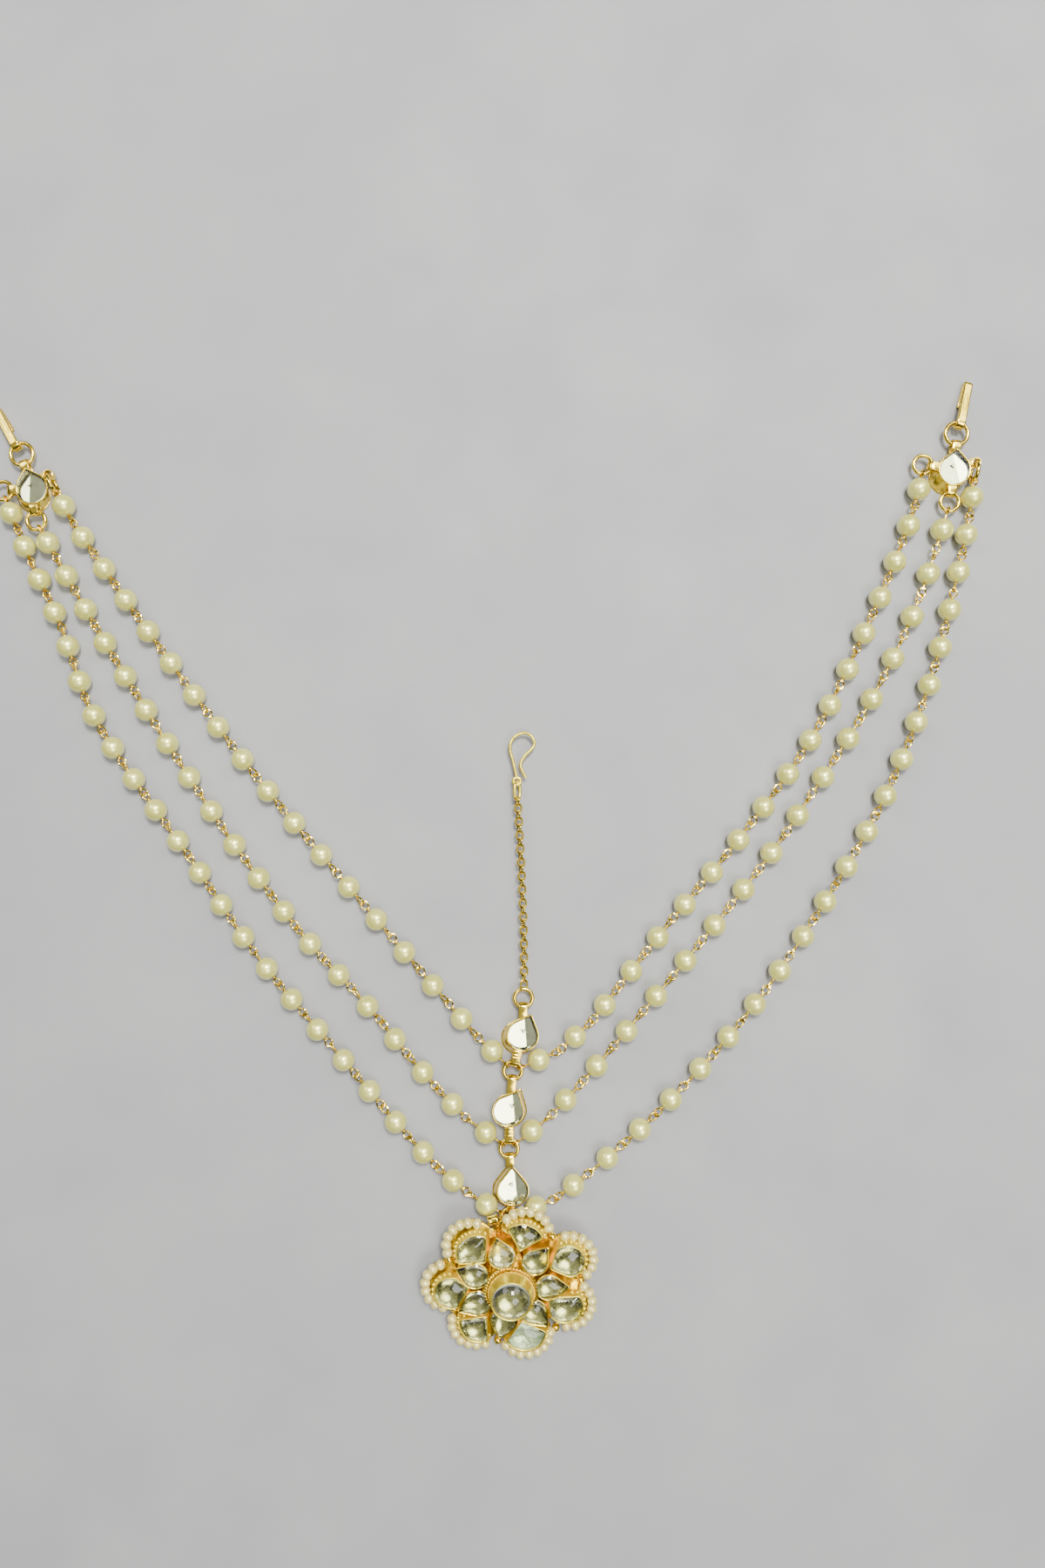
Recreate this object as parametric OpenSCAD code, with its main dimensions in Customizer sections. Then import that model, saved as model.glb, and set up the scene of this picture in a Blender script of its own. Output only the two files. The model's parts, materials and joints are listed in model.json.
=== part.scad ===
// Matha patti: a flower pendant for the forehead, three drops and a fine chain up to the crown
// hook, and three pearl strands to each side that meet at a drop-shaped setting with a hair hook.
// It lies on its back. The origin is on the surface under the flower, +Y runs to the crown hook
// and +Z points away from the surface that it lies on.

/* [Pearl strands] */
// Diameter of a round pearl
pearl_d = 5; // [4.8:0.1:5.4]
// Bore drilled through each pearl
pearl_bore_d = 1; // [0.9:0.05:1.2]
// Wire of the loop at each end of a pearl's pin
eye_wire_d = 0.5; // [0.4:0.05:0.55]
// Outer diameter of that loop
eye_od = 2.4; // [2.3:0.05:2.6]
// Straight pin inside the pearl
pin_d = 0.6; // [0.5:0.05:0.7]
// Wrapped neck between a pearl and its loop
neck_d = 0.9; // [0.75:0.05:1]
// Play between two loops that pull on each other
loop_gap = 0.15; // [0.12:0.01:0.2]
// Gap round a stone in its pocket and beside a pearl
gap = 0.1; // [0.1:0.01:0.14]

/* [Rings] */
// Wire of the junction rings in the middle
junction_wire_d = 1; // [0.8:0.05:1.1]
// Outer diameter of the junction rings
junction_od = 5.5; // [5.3:0.1:6]
// Wire of the rings at the side settings
side_ring_wire_d = 1; // [0.8:0.05:1.05]
// Outer diameter of the strand rings there
side_ring_od = 5.6; // [5.4:0.1:6]
// Outer diameter of the ring that holds a side hook
hook_ring_od = 6.6; // [6:0.1:7]

/* [Drops] */
// Radius of the round end of a drop setting
drop_r = 4.05; // [3.8:0.05:4.3]
// Centre of the round end to the point of a drop setting
drop_tip = 5.9; // [5.6:0.1:6.3]
// The same on a side setting
side_tip = 5.6; // [5.4:0.1:6]
// Height of a drop setting
drop_h = 4; // [3.6:0.1:4.4]
// Wall of a drop setting
drop_wall = 0.45; // [0.35:0.05:0.6]
// Width of the back plate's edge that shows round a drop setting
drop_flange = 0.25; // [0.15:0.05:0.35]
// Thickness of that edge
drop_flange_t = 0.5; // [0.4:0.05:0.7]
// Depth of the pocket that holds a cut stone
drop_pocket = 1.6; // [1.3:0.1:1.9]
// Height of a cut stone's straight girdle
girdle_h = 0.9; // [0.7:0.05:1.1]
// Height of a cut stone's facets above the girdle
crown_h = 0.8; // [0.6:0.05:1]

/* [Strap loops on the settings] */
// Bore of a strap loop that holds a ring
strap_bore_d = 1.8; // [1.75:0.05:1.9]
// Outer diameter of a strap loop
strap_od = 2.6; // [2.5:0.05:2.8]
// Width of a strap loop
strap_w = 1.5; // [1.3:0.1:1.6]
// How far the raised bands stand out of a strap
strap_band = 0.1; // [0.05:0.01:0.12]
// Width of those bands, and of the space between them
strap_band_w = 0.45; // [0.4:0.05:0.5]
// Thickness of the strap between the loop and the setting
strap_t = 1.2; // [1:0.1:1.4]
// Longest strap below a drop, from its wall to the middle of the loop
tab_len = 3.4; // [3:0.1:3.8]
// Longest strap above a drop, from its wall to the middle of the loop
bail_len = 3.1; // [2.8:0.1:3.5]
// Strap on a side setting, from its wall to the middle of the loop
side_strap_len = 1.25; // [1.2:0.05:1.5]

/* [Flower] */
// Tilt of the flower, whose upper edge lies on the last pearls
flower_tilt = 8; // [7.5:0.1:8.5]
// Mean distance of a petal's middle from the flower's middle
petal_ring_r = 14.4; // [14.3:0.1:14.8]
// Radius of a round petal's box
petal_r = 4.3; // [4.1:0.05:4.35]
// Height of a petal's box
petal_h = 4.3; // [4:0.1:4.6]
// Wall of the petal and leaf boxes
box_wall = 0.4; // [0.35:0.05:0.5]
// Mean distance of a leaf's middle from the flower's middle
leaf_ring_r = 8.9; // [8.85:0.05:9.1]
// Radius of a leaf's box
leaf_r = 3.5; // [3.35:0.05:3.5]
// Height of a leaf's box
leaf_h = 4.5; // [4.3:0.1:4.7]
// Thickness of the flower's back plate
plate_t = 0.6; // [0.5:0.05:0.7]
// How far the back plate reaches from a petal's middle
petal_plate_r = 6.2; // [6:0.1:6.4]
// Depth of the petal and leaf pockets
petal_pocket = 1.6; // [1.4:0.1:1.8]
// How far a petal or leaf stone's dome rises above its edge
petal_dome = 1.1; // [0.9:0.1:1.3]
// Depth of a stone's edge below the rim of its box
stone_sink = 0.3; // [0.2:0.05:0.35]
// Radius of the drum under the collar
drum_r = 5.4; // [5.3:0.05:5.45]
// Height of that drum
drum_h = 5.8; // [5.7:0.1:6.2]
// Radius of the rope ring on top of the drum
rope_ring_r = 6; // [5.9:0.05:6.2]
// Thickness of that ring
rope_d = 1; // [0.9:0.05:1.1]
// Radius of the collar at its foot, on the drum
collar_foot_r = 5.4; // [5.3:0.05:5.5]
// Radius of the collar at its rim
collar_rim_r = 4.9; // [4.8:0.05:5.1]
// Height of the collar's rim above the flower's back
collar_h = 10; // [9.6:0.1:10.4]
// Depth of the pocket in the collar
collar_pocket = 2; // [1.8:0.1:2.2]
// How far the centre stone's dome rises above its edge
centre_dome = 2.5; // [2.2:0.1:2.8]
// Mean distance of the gold beads between the petals from the middle
notch_r = 16.4; // [16.2:0.1:16.7]
// Diameter of those beads
notch_bead_d = 1.9; // [1.8:0.05:1.95]
// How far those beads are sunk into the back plate
bead_sink = 0.2; // [0.1:0.05:0.3]
// Diameter of the rolled bail in the top notch
bail_d = 2.4; // [2.2:0.1:2.5]
// Width of that bail
bail_w = 2.6; // [2.4:0.1:2.8]
// Radius of a row of seed pearls about its petal's middle
seed_row_r = 5.9; // [5.85:0.05:6]
// Thickness of a row of seed pearls
seed_d = 2.2; // [2:0.05:2.2]
// Half of the angle that such a row covers
seed_row_half = 70; // [66:1:71]

/* [Crown hook and chain] */
// Height of the S hook above its eye
crown_hook_h = 11.2; // [10.5:0.1:12]
// Wire of the S hook
crown_wire_d = 0.8; // [0.7:0.05:0.9]
// Outer diameter of the eye below the S hook
crown_eye_od = 2.6; // [2.5:0.05:2.8]
// Outer diameter of the jump ring below that eye
jump_ring_od = 2.9; // [2.8:0.05:3.2]
// Wire of that jump ring
jump_ring_wire_d = 0.5; // [0.4:0.05:0.6]
// Thickness of the crown chain
chain_d = 2.2; // [2:0.1:2.4]

/* [Side hooks] */
// Length of a side hook past the middle of its curl
side_hook_len = 11; // [10:0.5:13]
// Width of the flat strip of a side hook
side_hook_w = 2; // [1.7:0.1:2.1]
// Thickness of that strip
side_hook_t = 0.8; // [0.6:0.05:0.8]
// Room between the curl and the ring inside it
curl_room = 0.35; // [0.3:0.05:0.4]
// Length of the leg that runs back under the hook
return_leg = 6; // [4:0.5:7]

/* [Hidden] */
$fn = 64;
FLAT = 0;
STANDING = 1;
DROP_NAMES = ["lower", "middle", "upper"];
SIDES = ["left", "right"];
STRAND_NAMES = ["outer", "middle", "inner"];

// Where the wires, rings and strap loops run: through the middle of the pearls
link_z = pearl_d / 2;
pearl_gap = pearl_d / 2 + gap;
eye_mean_r = (eye_od - eye_wire_d) / 2;
// Two loops that pull on each other lie this far apart
eye_pitch = 2 * eye_mean_r - eye_wire_d - loop_gap;
// How far two soldered wires run into each other
solder = 0.4;
junction_r = (junction_od - junction_wire_d) / 2;
side_ring_r = (side_ring_od - side_ring_wire_d) / 2;
hook_ring_r = (hook_ring_od - side_ring_wire_d) / 2;

// The flower's middle beside the origin, on its own tilted back, and its wire loop for the column
FLOWER_MIDDLE = [0.3, 1];
FLOWER_EYE = [-2.3, 15.4];
EYE_TO_JUNCTION = 15.5;
// Petals. Columns: direction from the middle, distance as a share of petal_ring_r. Then as shares of
// petal_r: inward shift of the arc's middle, its radius, and the two places of the inner corner, with
// the arc's ends in degrees before those. Last, the distance of the next bead as a share of notch_r
PETALS = [
    [75, 0.92, 0.4, 1.27, -57, 57, 0.86, 0, 0.95],
    [24, 1.09, 0, 1, -110, 110, 1.16, 0, 1.05],
    [-22, 1.055, 0.07, 1.06, -125, 62, 1.23, 0.16, 1.02],
    [-75, 0.955, 0.44, 1.25, -75, 75, 1.16, 0, 1],
    [-129.5, 0.97, 0.23, 1.17, -65, 65, 0.95, 0, 0.99],
    [-177, 1.08, 0, 1, -112, 112, 1.07, -0.28, 1.01],
    [136, 0.98, 0.42, 1.2, -75, 75, 1.19, 0, 1.04]
];
// Point of a leaf as a share of leaf_r
LEAF_TIP = 1.55;
// Facets round a cut stone, its table as a share of its outline, and the table's shift as shares
CUT_POINTS = 15;
TABLE_SHARE = 0.72;
TABLE_SHIFT = [-0.03, 0.12];
// Drops from the flower up. Columns: direction of the strap below, its share of tab_len,
// direction of the strap above, its share of bail_len, lean of the point, point's share of drop_tip
DROPS = [
    [86, 0.4, 94.5, 0.5, -3, 1.07],
    [89.5, 1, 85, 1, -22, 1],
    [75.5, 0.9, 88, 0.75, -20, 1]
];
// Strap loops of the side settings. Columns: direction, extra length as a share of
// side_strap_len, kind of ring, direction in which the strand leaves a standing ring
SIDE_CENTRES = [[-119.4, 198], [110.6, 202.7]];
SIDE_HOOK_DIRECTIONS = [[108, 121], [83.5, 75.5]];
SIDE_STRAPS = [
    [[181, 0, FLAT, 0], [275, 0, FLAT, 0], [43, 0.1, STANDING, -66]],
    [[20, 0.65, STANDING, -98], [265, 0, FLAT, 0], [167, 0, FLAT, 0]]
];
// Strands, outer, middle, inner. Columns: pearls, growth of their pitch towards the flower
STRANDS = [
    [[23, 0.08], [19, 0.08], [18, 0.1]],
    [[22, 0.08], [17, 0], [18, 0.08]]
];
// Chosen points of each strand's way from its side setting to the middle
STRAND_ROUTES = [
    [
        [[-124.5, 191], [-119, 178], [-112, 163], [-106, 145], [-97.5, 130.5], [-80.5, 106.5],
            [-63, 81], [-43, 57], [-22, 32.5], [-9, 21]],
        [[-115.5, 184.5], [-101.5, 160], [-86, 135], [-69.5, 110], [-51, 85.5], [-36, 69.5],
            [-22.5, 53], [-9.5, 39.5]],
        [[-111.5, 193], [-96.5, 171], [-80, 148], [-62.5, 125], [-41.5, 100], [-20.5, 75.5],
            [-8, 61]]
    ],
    [
        [[115.3, 194], [112, 177.5], [105, 150], [94.5, 123], [80.5, 98], [62, 70.5],
            [40.5, 46], [20, 27.5], [9, 19.5]],
        [[108, 188], [101, 167.5], [90, 145], [77, 124.5], [64, 105.5], [43.5, 80],
            [21.5, 54], [8.5, 40]],
        [[102.5, 198], [96.5, 181], [89, 163.5], [76, 137], [58.5, 112.5], [37, 86.5],
            [18, 62.5], [9.5, 56.5]]
    ]
];
CROWN_CHAIN_ROUTE = [[2.6, 107], [3.2, 89], [3.5, 79]];
CROWN_HOOK_BASE = [1.6, 126.1];
// Bends of the S hook as shares of crown_hook_h. Columns: across, up
CROWN_HOOK_BENDS = [
    [0, 0], [-0.08, 0.35], [-0.15, 0.62], [-0.13, 0.8], [-0.02, 0.94], [0.16, 1], [0.31, 0.94],
    [0.39, 0.8], [0.35, 0.66], [0.18, 0.49], [0.08, 0.27], [0.2, 0]
];

GOLD = "goldenrod";
PEARL = "antiquewhite";
STONE = "lightcyan";

// Directions and curves
function dir(a) = [cos(a), sin(a)];
function heading(v) = atan2(v.y, v.x);
function unit(v) = v / norm(v);
function blend4(a, b, c, d, t) =
    (2 * b + (c - a) * t + (2 * a - 5 * b + 4 * c - d) * t * t + (3 * b - a - 3 * c + d) * t * t * t) / 2;
function smooth_route(p, steps = 10) = let (last = len(p) - 1) concat(
    [for (i = [0 : last - 1]) for (k = [0 : steps - 1])
        blend4(p[max(i - 1, 0)], p[i], p[i + 1], p[min(i + 2, last)], k / steps)],
    [p[last]]);
function running_length(p) = [
    for (i = 0, s = 0; i < len(p); s = s + (i + 1 < len(p) ? norm(p[i + 1] - p[i]) : 0), i = i + 1) s];
function on_route(p, along, s) = [
    lookup(s, [for (i = [0 : len(p) - 1]) [along[i], p[i].x]]),
    lookup(s, [for (i = [0 : len(p) - 1]) [along[i], p[i].y]])];
function evenly(p, count) = let (along = running_length(p), total = along[len(p) - 1])
    [for (k = [0 : count]) on_route(p, along, total * k / count)];

// A drop outline is a circle with a point. Its sides touch the circle at this angle from the point
function touch_angle(r, tip) = acos(r / tip);
// Points of a drop outline with its point at direction 0
function drop_points(r, tip, steps = 40) = let (a = touch_angle(r, tip)) concat(
    [for (i = [0 : steps]) r * dir(a + (360 - 2 * a) * i / steps)], [[tip, 0]]);
// Distance of the outline's wall from the circle's middle, seen at an angle from the point
function drop_reach(r, tip, a) = let (t = touch_angle(r, tip)) abs(a) < t ? r / cos(t - abs(a)) : r;

// Places along the middle column, worked out from the flower's eye upwards
function drop_tip_of(i) = drop_tip * DROPS[i][5];
function drop_tip_heading(i) = DROPS[i][2] + DROPS[i][4];
function tab_reach(i) = drop_r + max(DROPS[i][1] * tab_len, strap_od / 2);
function bail_reach(i) = drop_reach(drop_r, drop_tip_of(i), DROPS[i][4])
    + max(DROPS[i][3] * bail_len, strap_od / 2);
function junction_centre(i) = i == 0
    ? FLOWER_EYE + junction_r * dir(EYE_TO_JUNCTION)
    : drop_centre(i - 1) + (bail_reach(i - 1) + junction_r) * dir(DROPS[i - 1][2]);
function drop_centre(i) = junction_centre(i) + (junction_r + tab_reach(i)) * dir(DROPS[i][0]);
chain_ring_centre = drop_centre(2) + (bail_reach(2) + junction_r) * dir(DROPS[2][2]);

// The eye of the crown hook and the jump ring that hangs in it
crown_eye_r = (crown_eye_od - crown_wire_d) / 2;
jump_ring_r = (jump_ring_od - jump_ring_wire_d) / 2;
crown_eye_centre = CROWN_HOOK_BASE - [0, crown_eye_r];
jump_ring_centre = crown_eye_centre
    - [0, crown_eye_r + jump_ring_r - (crown_wire_d + jump_ring_wire_d) / 2 - loop_gap];

// Places at the side settings. A standing ring rests on its edge, a flat one lies at the wires' height
function ring_z(kind) = kind == STANDING ? side_ring_od / 2 : link_z;
side_hook_reach = side_tip + (strap_bore_d + strap_od) / 4;
function strap_reach(s, k) = drop_r + side_strap_len * (1 + SIDE_STRAPS[s][k][1]);
function strap_point(s, k) = SIDE_CENTRES[s] + strap_reach(s, k) * dir(SIDE_STRAPS[s][k][0]);
function strand_ring_centre(s, k) = let (row = SIDE_STRAPS[s][k])
    strap_point(s, k) + side_ring_r * dir(row[2] == STANDING ? row[3] : row[0]);
function hook_ring_centre(s) = SIDE_CENTRES[s]
    + (side_hook_reach + hook_ring_r) * dir(SIDE_HOOK_DIRECTIONS[s][0]);

// A strand's whole way, from the wire of its side ring to the wire of its junction ring
function from_ring(centre, r, towards) = centre + r * unit(towards - centre);
function strand_way(s, k) = let (
    chosen = STRAND_ROUTES[s][k],
    side = strand_ring_centre(s, k),
    middle = junction_centre(k))
    smooth_route(concat(
        [from_ring(side, side_ring_r, chosen[0])],
        chosen,
        [from_ring(middle, junction_r, chosen[len(chosen) - 1])]));
// Joints between the pearls' pins. The first and last lie half a loop pitch past the rings' wire
function strand_joints(s, k) = let (
    way = strand_way(s, k),
    along = running_length(way),
    n = STRANDS[s][k][0],
    growth = STRANDS[s][k][1],
    total = along[len(way) - 1] + eye_pitch,
    between = [for (j = [1 : n - 1])
        on_route(way, along, total * (j + growth * (j * j / n - j)) / n - eye_pitch / 2)],
    first = way[0],
    last = way[len(way) - 1])
    concat(
        [first + eye_pitch / 2 * unit(first - between[0])],
        between,
        [last + eye_pitch / 2 * unit(last - between[n - 2])]);

// The flower's own frame, tilted about X, with its lowest edge on the surface
function petal_distance(i) = petal_ring_r * PETALS[i][1];
flower_lift = sin(flower_tilt) * (petal_plate_r - FLOWER_MIDDLE.y
    - min([for (i = [0 : len(PETALS) - 1]) petal_distance(i) * sin(PETALS[i][0])]));
function next_petal(i) = (i + 1) % len(PETALS);
function leaf_direction(i) = let (a = PETALS[i][0], b = PETALS[next_petal(i)][0])
    (a + b - (b > a ? 360 : 0)) / 2;
function leaf_distance(i) = leaf_ring_r * (PETALS[i][1] + PETALS[next_petal(i)][1] + 2) / 4;
function bead_distance(i) = notch_r * PETALS[i][8];
box_top = max(petal_h, leaf_h) + gap;
module in_flower() translate([0, 0, flower_lift]) rotate([flower_tilt, 0, 0])
    translate([FLOWER_MIDDLE.x, FLOWER_MIDDLE.y, 0]) children();
module at_petal(i) rotate([0, 0, PETALS[i][0]]) translate([petal_distance(i), 0, 0]) children();
module at_leaf(i) rotate([0, 0, leaf_direction(i)]) translate([leaf_distance(i), 0, 0]) children();

// Shapes that repeat
module torus(r, wire_d, kind = FLAT)
    rotate([kind == STANDING ? 90 : 0, 0, 0])
        rotate_extrude() translate([r, 0]) circle(d = wire_d, $fn = 40);

module ring_at(centre, r, wire_d) color(GOLD) translate([centre.x, centre.y, link_z]) torus(r, wire_d);

// A tube along a level route, as rings of points joined by quads
module tube(p, d, z, sides) {
    last = len(p) - 1;
    rings = [for (i = [0 : last]) let (
        way = unit(p[min(i + 1, last)] - p[max(i - 1, 0)]),
        across = [-way.y, way.x])
        for (k = [0 : sides - 1]) let (a = 360 * (k + 0.5) / sides)
            [p[i].x + across.x * cos(a) * d / 2, p[i].y + across.y * cos(a) * d / 2, z + sin(a) * d / 2]];
    walls = [for (i = [0 : last - 1]) for (k = [0 : sides - 1]) let (m = (k + 1) % sides)
        [i * sides + k, (i + 1) * sides + k, (i + 1) * sides + m, i * sides + m]];
    first_cap = [for (k = [0 : sides - 1]) k];
    last_cap = [for (k = [sides - 1 : -1 : 0]) last * sides + k];
    polyhedron(rings, concat(walls, [first_cap, last_cap]), convexity = 4);
}

// A strap loop at the end of its strap, which starts inside the wall of a setting
module strap_eye(from, reach, kind) {
    turn = kind == STANDING ? 0 : 90;
    difference() {
        union() {
            translate([reach, 0, 0]) rotate([turn, 0, 0]) cylinder(d = strap_od, h = strap_w, center = true);
            translate([from, -strap_w / 2, -strap_t / 2]) cube([reach - from, strap_w, strap_t]);
            for (x = [from + drop_wall + strap_band_w / 2 : 2 * strap_band_w
                : reach - (strap_od + strap_band_w) / 2])
                translate([x, -strap_w / 2 - strap_band, -strap_t / 2 - strap_band])
                    cube([strap_band_w, strap_w + 2 * strap_band, strap_t + 2 * strap_band]);
        }
        translate([reach, 0, 0]) rotate([turn, 0, 0]) cylinder(d = strap_bore_d, h = 2 * strap_w, center = true);
    }
}

// A drop-shaped box with a pocket for its stone and strap loops round it.
// Rows of straps: direction, distance of the wall there, reach, kind of ring
module drop_box(tip, tip_heading, straps) {
    pocket_scale = (drop_r - drop_wall) / drop_r;
    difference() {
        union() {
            rotate([0, 0, tip_heading]) {
                linear_extrude(drop_h) polygon(drop_points(drop_r, tip));
                linear_extrude(drop_flange_t)
                    polygon(drop_points(drop_r + drop_flange, tip * (1 + drop_flange / drop_r)));
            }
            for (s = straps) rotate([0, 0, s[0]]) translate([0, 0, ring_z(s[3])])
                strap_eye(s[1] - drop_wall, s[2], s[3]);
        }
        rotate([0, 0, tip_heading]) translate([0, 0, drop_h - drop_pocket])
            linear_extrude(drop_h) polygon(drop_points(drop_r - drop_wall, tip * pocket_scale));
    }
}

// A flat-cut stone for a drop box: a girdle, a ring of facets and a table set off to one side
module drop_cut_stone(tip, tip_heading) {
    r = drop_r - drop_wall - gap;
    girdle = drop_points(r, tip * r / drop_r, CUT_POINTS);
    table = [for (p = girdle) TABLE_SHARE * p + TABLE_SHIFT * r];
    n = len(girdle);
    low = [for (p = girdle) [p.x, p.y, 0]];
    rim = [for (p = girdle) [p.x, p.y, girdle_h]];
    top = [for (p = table) [p.x, p.y, girdle_h + crown_h]];
    walls = [for (level = [0, 1]) for (k = [0 : n - 1]) let (m = (k + 1) % n)
        [level * n + k, (level + 1) * n + k, (level + 1) * n + m, level * n + m]];
    color(STONE) translate([0, 0, drop_h - drop_pocket + gap]) rotate([0, 0, tip_heading])
        polyhedron(concat(low, rim, top),
            concat(walls, [[for (k = [0 : n - 1]) k], [for (k = [n - 1 : -1 : 0]) 2 * n + k]]));
}

// A smooth stone of any outline under a round dome
module domed_stone(half_width, base, rim, dome) {
    ball_r = (half_width * half_width + dome * dome) / (2 * dome);
    intersection() {
        translate([0, 0, base]) linear_extrude(rim + 2 * dome - base) children();
        translate([0, 0, rim + dome - ball_r]) sphere(r = ball_r, $fn = 96);
    }
}

// A petal is an arc with a corner towards the flower's middle, a leaf is a drop that points out
function petal_points(i, r, steps = 36) = let (row = PETALS[i]) concat(
    [for (k = [0 : steps]) r * ([-row[2], 0] + row[3] * dir(row[4] + (row[5] - row[4]) * k / steps))],
    [r * [-row[6], row[7]]]);
function leaf_points(r) = drop_points(r, r * LEAF_TIP);

// One pearl's wire: a pin through the pearl, two wrapped necks and a loop at each end
module eye_pin(length, first_kind, last_kind) {
    eye_x = length / 2;
    neck_end = eye_x - eye_mean_r;
    rotate([0, 90, 0]) cylinder(d = pin_d, h = pearl_gap + neck_end, center = true);
    for (side = [0, 1]) rotate([0, 0, 180 * side]) {
        translate([pearl_gap, 0, 0]) rotate([0, 90, 0]) cylinder(d = neck_d, h = neck_end - pearl_gap);
        translate([eye_x, 0, 0]) torus(eye_mean_r, eye_wire_d, side == 0 ? last_kind : first_kind);
    }
}

// Places its children at each pearl of a strand, along the wire, with $pin_length and $j
module at_pearls(s, k) {
    joints = strand_joints(s, k);
    for ($j = [0 : len(joints) - 2]) {
        way = joints[$j + 1] - joints[$j];
        middle = (joints[$j] + joints[$j + 1]) / 2;
        $pin_length = norm(way) - eye_pitch;
        translate([middle.x, middle.y, link_z]) rotate([0, 0, heading(way)]) children();
    }
}

module pearls(s, k) color(PEARL) at_pearls(s, k) rotate([0, 90, 0]) difference() {
    sphere(d = pearl_d);
    cylinder(d = pearl_bore_d, h = 2 * pearl_d, center = true);
}

// Neighbouring loops stand and lie in turn. The last one stands to hold the flat junction ring
module strand_wires(s, k) {
    first_kind = SIDE_STRAPS[s][k][2] == STANDING ? FLAT : STANDING;
    color(GOLD) at_pearls(s, k)
        eye_pin($pin_length, first_kind,
            $j == STRANDS[s][k][0] - 1 ? STANDING : 1 - first_kind);
}

module crown_hook() {
    bends = [for (b = CROWN_HOOK_BENDS) CROWN_HOOK_BASE + crown_hook_h * b];
    color(GOLD) tube(smooth_route(bends, 5), crown_wire_d, link_z, 12);
    ring_at(crown_eye_centre, crown_eye_r, crown_wire_d);
}

module crown_hook_ring() color(GOLD)
    translate([jump_ring_centre.x, jump_ring_centre.y, link_z])
        rotate([0, 0, 90]) torus(jump_ring_r, jump_ring_wire_d, STANDING);

module crown_chain() {
    top = jump_ring_centre - [0, jump_ring_od / 2 + gap];
    foot = chain_ring_centre + [0, junction_od / 2 + gap];
    color(GOLD) tube(evenly(smooth_route(concat([top], CROWN_CHAIN_ROUTE, [foot])), 10), chain_d, link_z, 8);
}

module chain_ring() ring_at(chain_ring_centre, junction_r, junction_wire_d);

module junction_ring(i) ring_at(junction_centre(i), junction_r, junction_wire_d);

module drop_setting(i) {
    c = drop_centre(i);
    color(GOLD) translate([c.x, c.y, 0]) drop_box(drop_tip_of(i), drop_tip_heading(i), [
        [DROPS[i][0] + 180, drop_r, tab_reach(i), FLAT],
        [DROPS[i][2], drop_reach(drop_r, drop_tip_of(i), DROPS[i][4]), bail_reach(i), FLAT]]);
}

module drop_stone(i) {
    c = drop_centre(i);
    translate([c.x, c.y, 0]) drop_cut_stone(drop_tip_of(i), drop_tip_heading(i));
}

module side_setting(s) {
    c = SIDE_CENTRES[s];
    tip_heading = SIDE_HOOK_DIRECTIONS[s][0];
    color(GOLD) translate([c.x, c.y, 0]) drop_box(side_tip, tip_heading, concat(
        [[tip_heading, side_tip, side_hook_reach, FLAT]],
        [for (k = [0 : 2]) [SIDE_STRAPS[s][k][0], drop_r, strap_reach(s, k), SIDE_STRAPS[s][k][2]]]));
}

module side_stone(s) {
    c = SIDE_CENTRES[s];
    translate([c.x, c.y, 0]) drop_cut_stone(side_tip, SIDE_HOOK_DIRECTIONS[s][0]);
}

module hook_ring(s) ring_at(hook_ring_centre(s), hook_ring_r, side_ring_wire_d);

module strand_ring(s, k) {
    c = strand_ring_centre(s, k);
    row = SIDE_STRAPS[s][k];
    color(GOLD) translate([c.x, c.y, ring_z(row[2])]) rotate([0, 0, row[3]])
        torus(side_ring_r, side_ring_wire_d, row[2]);
}

// A flat strip that curls round its ring, runs out, turns down and runs back along the surface
module side_hook(s) {
    curl_r = side_ring_wire_d / 2 + curl_room + side_hook_t / 2;
    top_z = link_z + curl_r;
    foot_z = side_hook_t / 2;
    turn_r = (top_z - foot_z) / 2;
    turn_x = side_hook_len - turn_r - side_hook_t / 2;
    line = concat(
        [for (a = [-50 : -10 : -270]) [0, link_z] + curl_r * dir(a)],
        [for (a = [90 : -10 : -90]) [turn_x, foot_z + turn_r] + turn_r * dir(a)],
        [[turn_x - return_leg, foot_z]]);
    last = len(line) - 1;
    sides = [for (i = [0 : last]) let (way = unit(line[min(i + 1, last)] - line[max(i - 1, 0)]))
        [-way.y, way.x] * side_hook_t / 2];
    outline = concat([for (i = [0 : last]) line[i] + sides[i]], [for (i = [last : -1 : 0]) line[i] - sides[i]]);
    way = SIDE_HOOK_DIRECTIONS[s][1];
    curl_centre = hook_ring_centre(s) + hook_ring_r * dir(way);
    color(GOLD) translate([curl_centre.x, curl_centre.y, 0]) rotate([0, 0, way]) rotate([90, 0, 0])
        linear_extrude(side_hook_w, center = true) polygon(outline);
}

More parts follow.
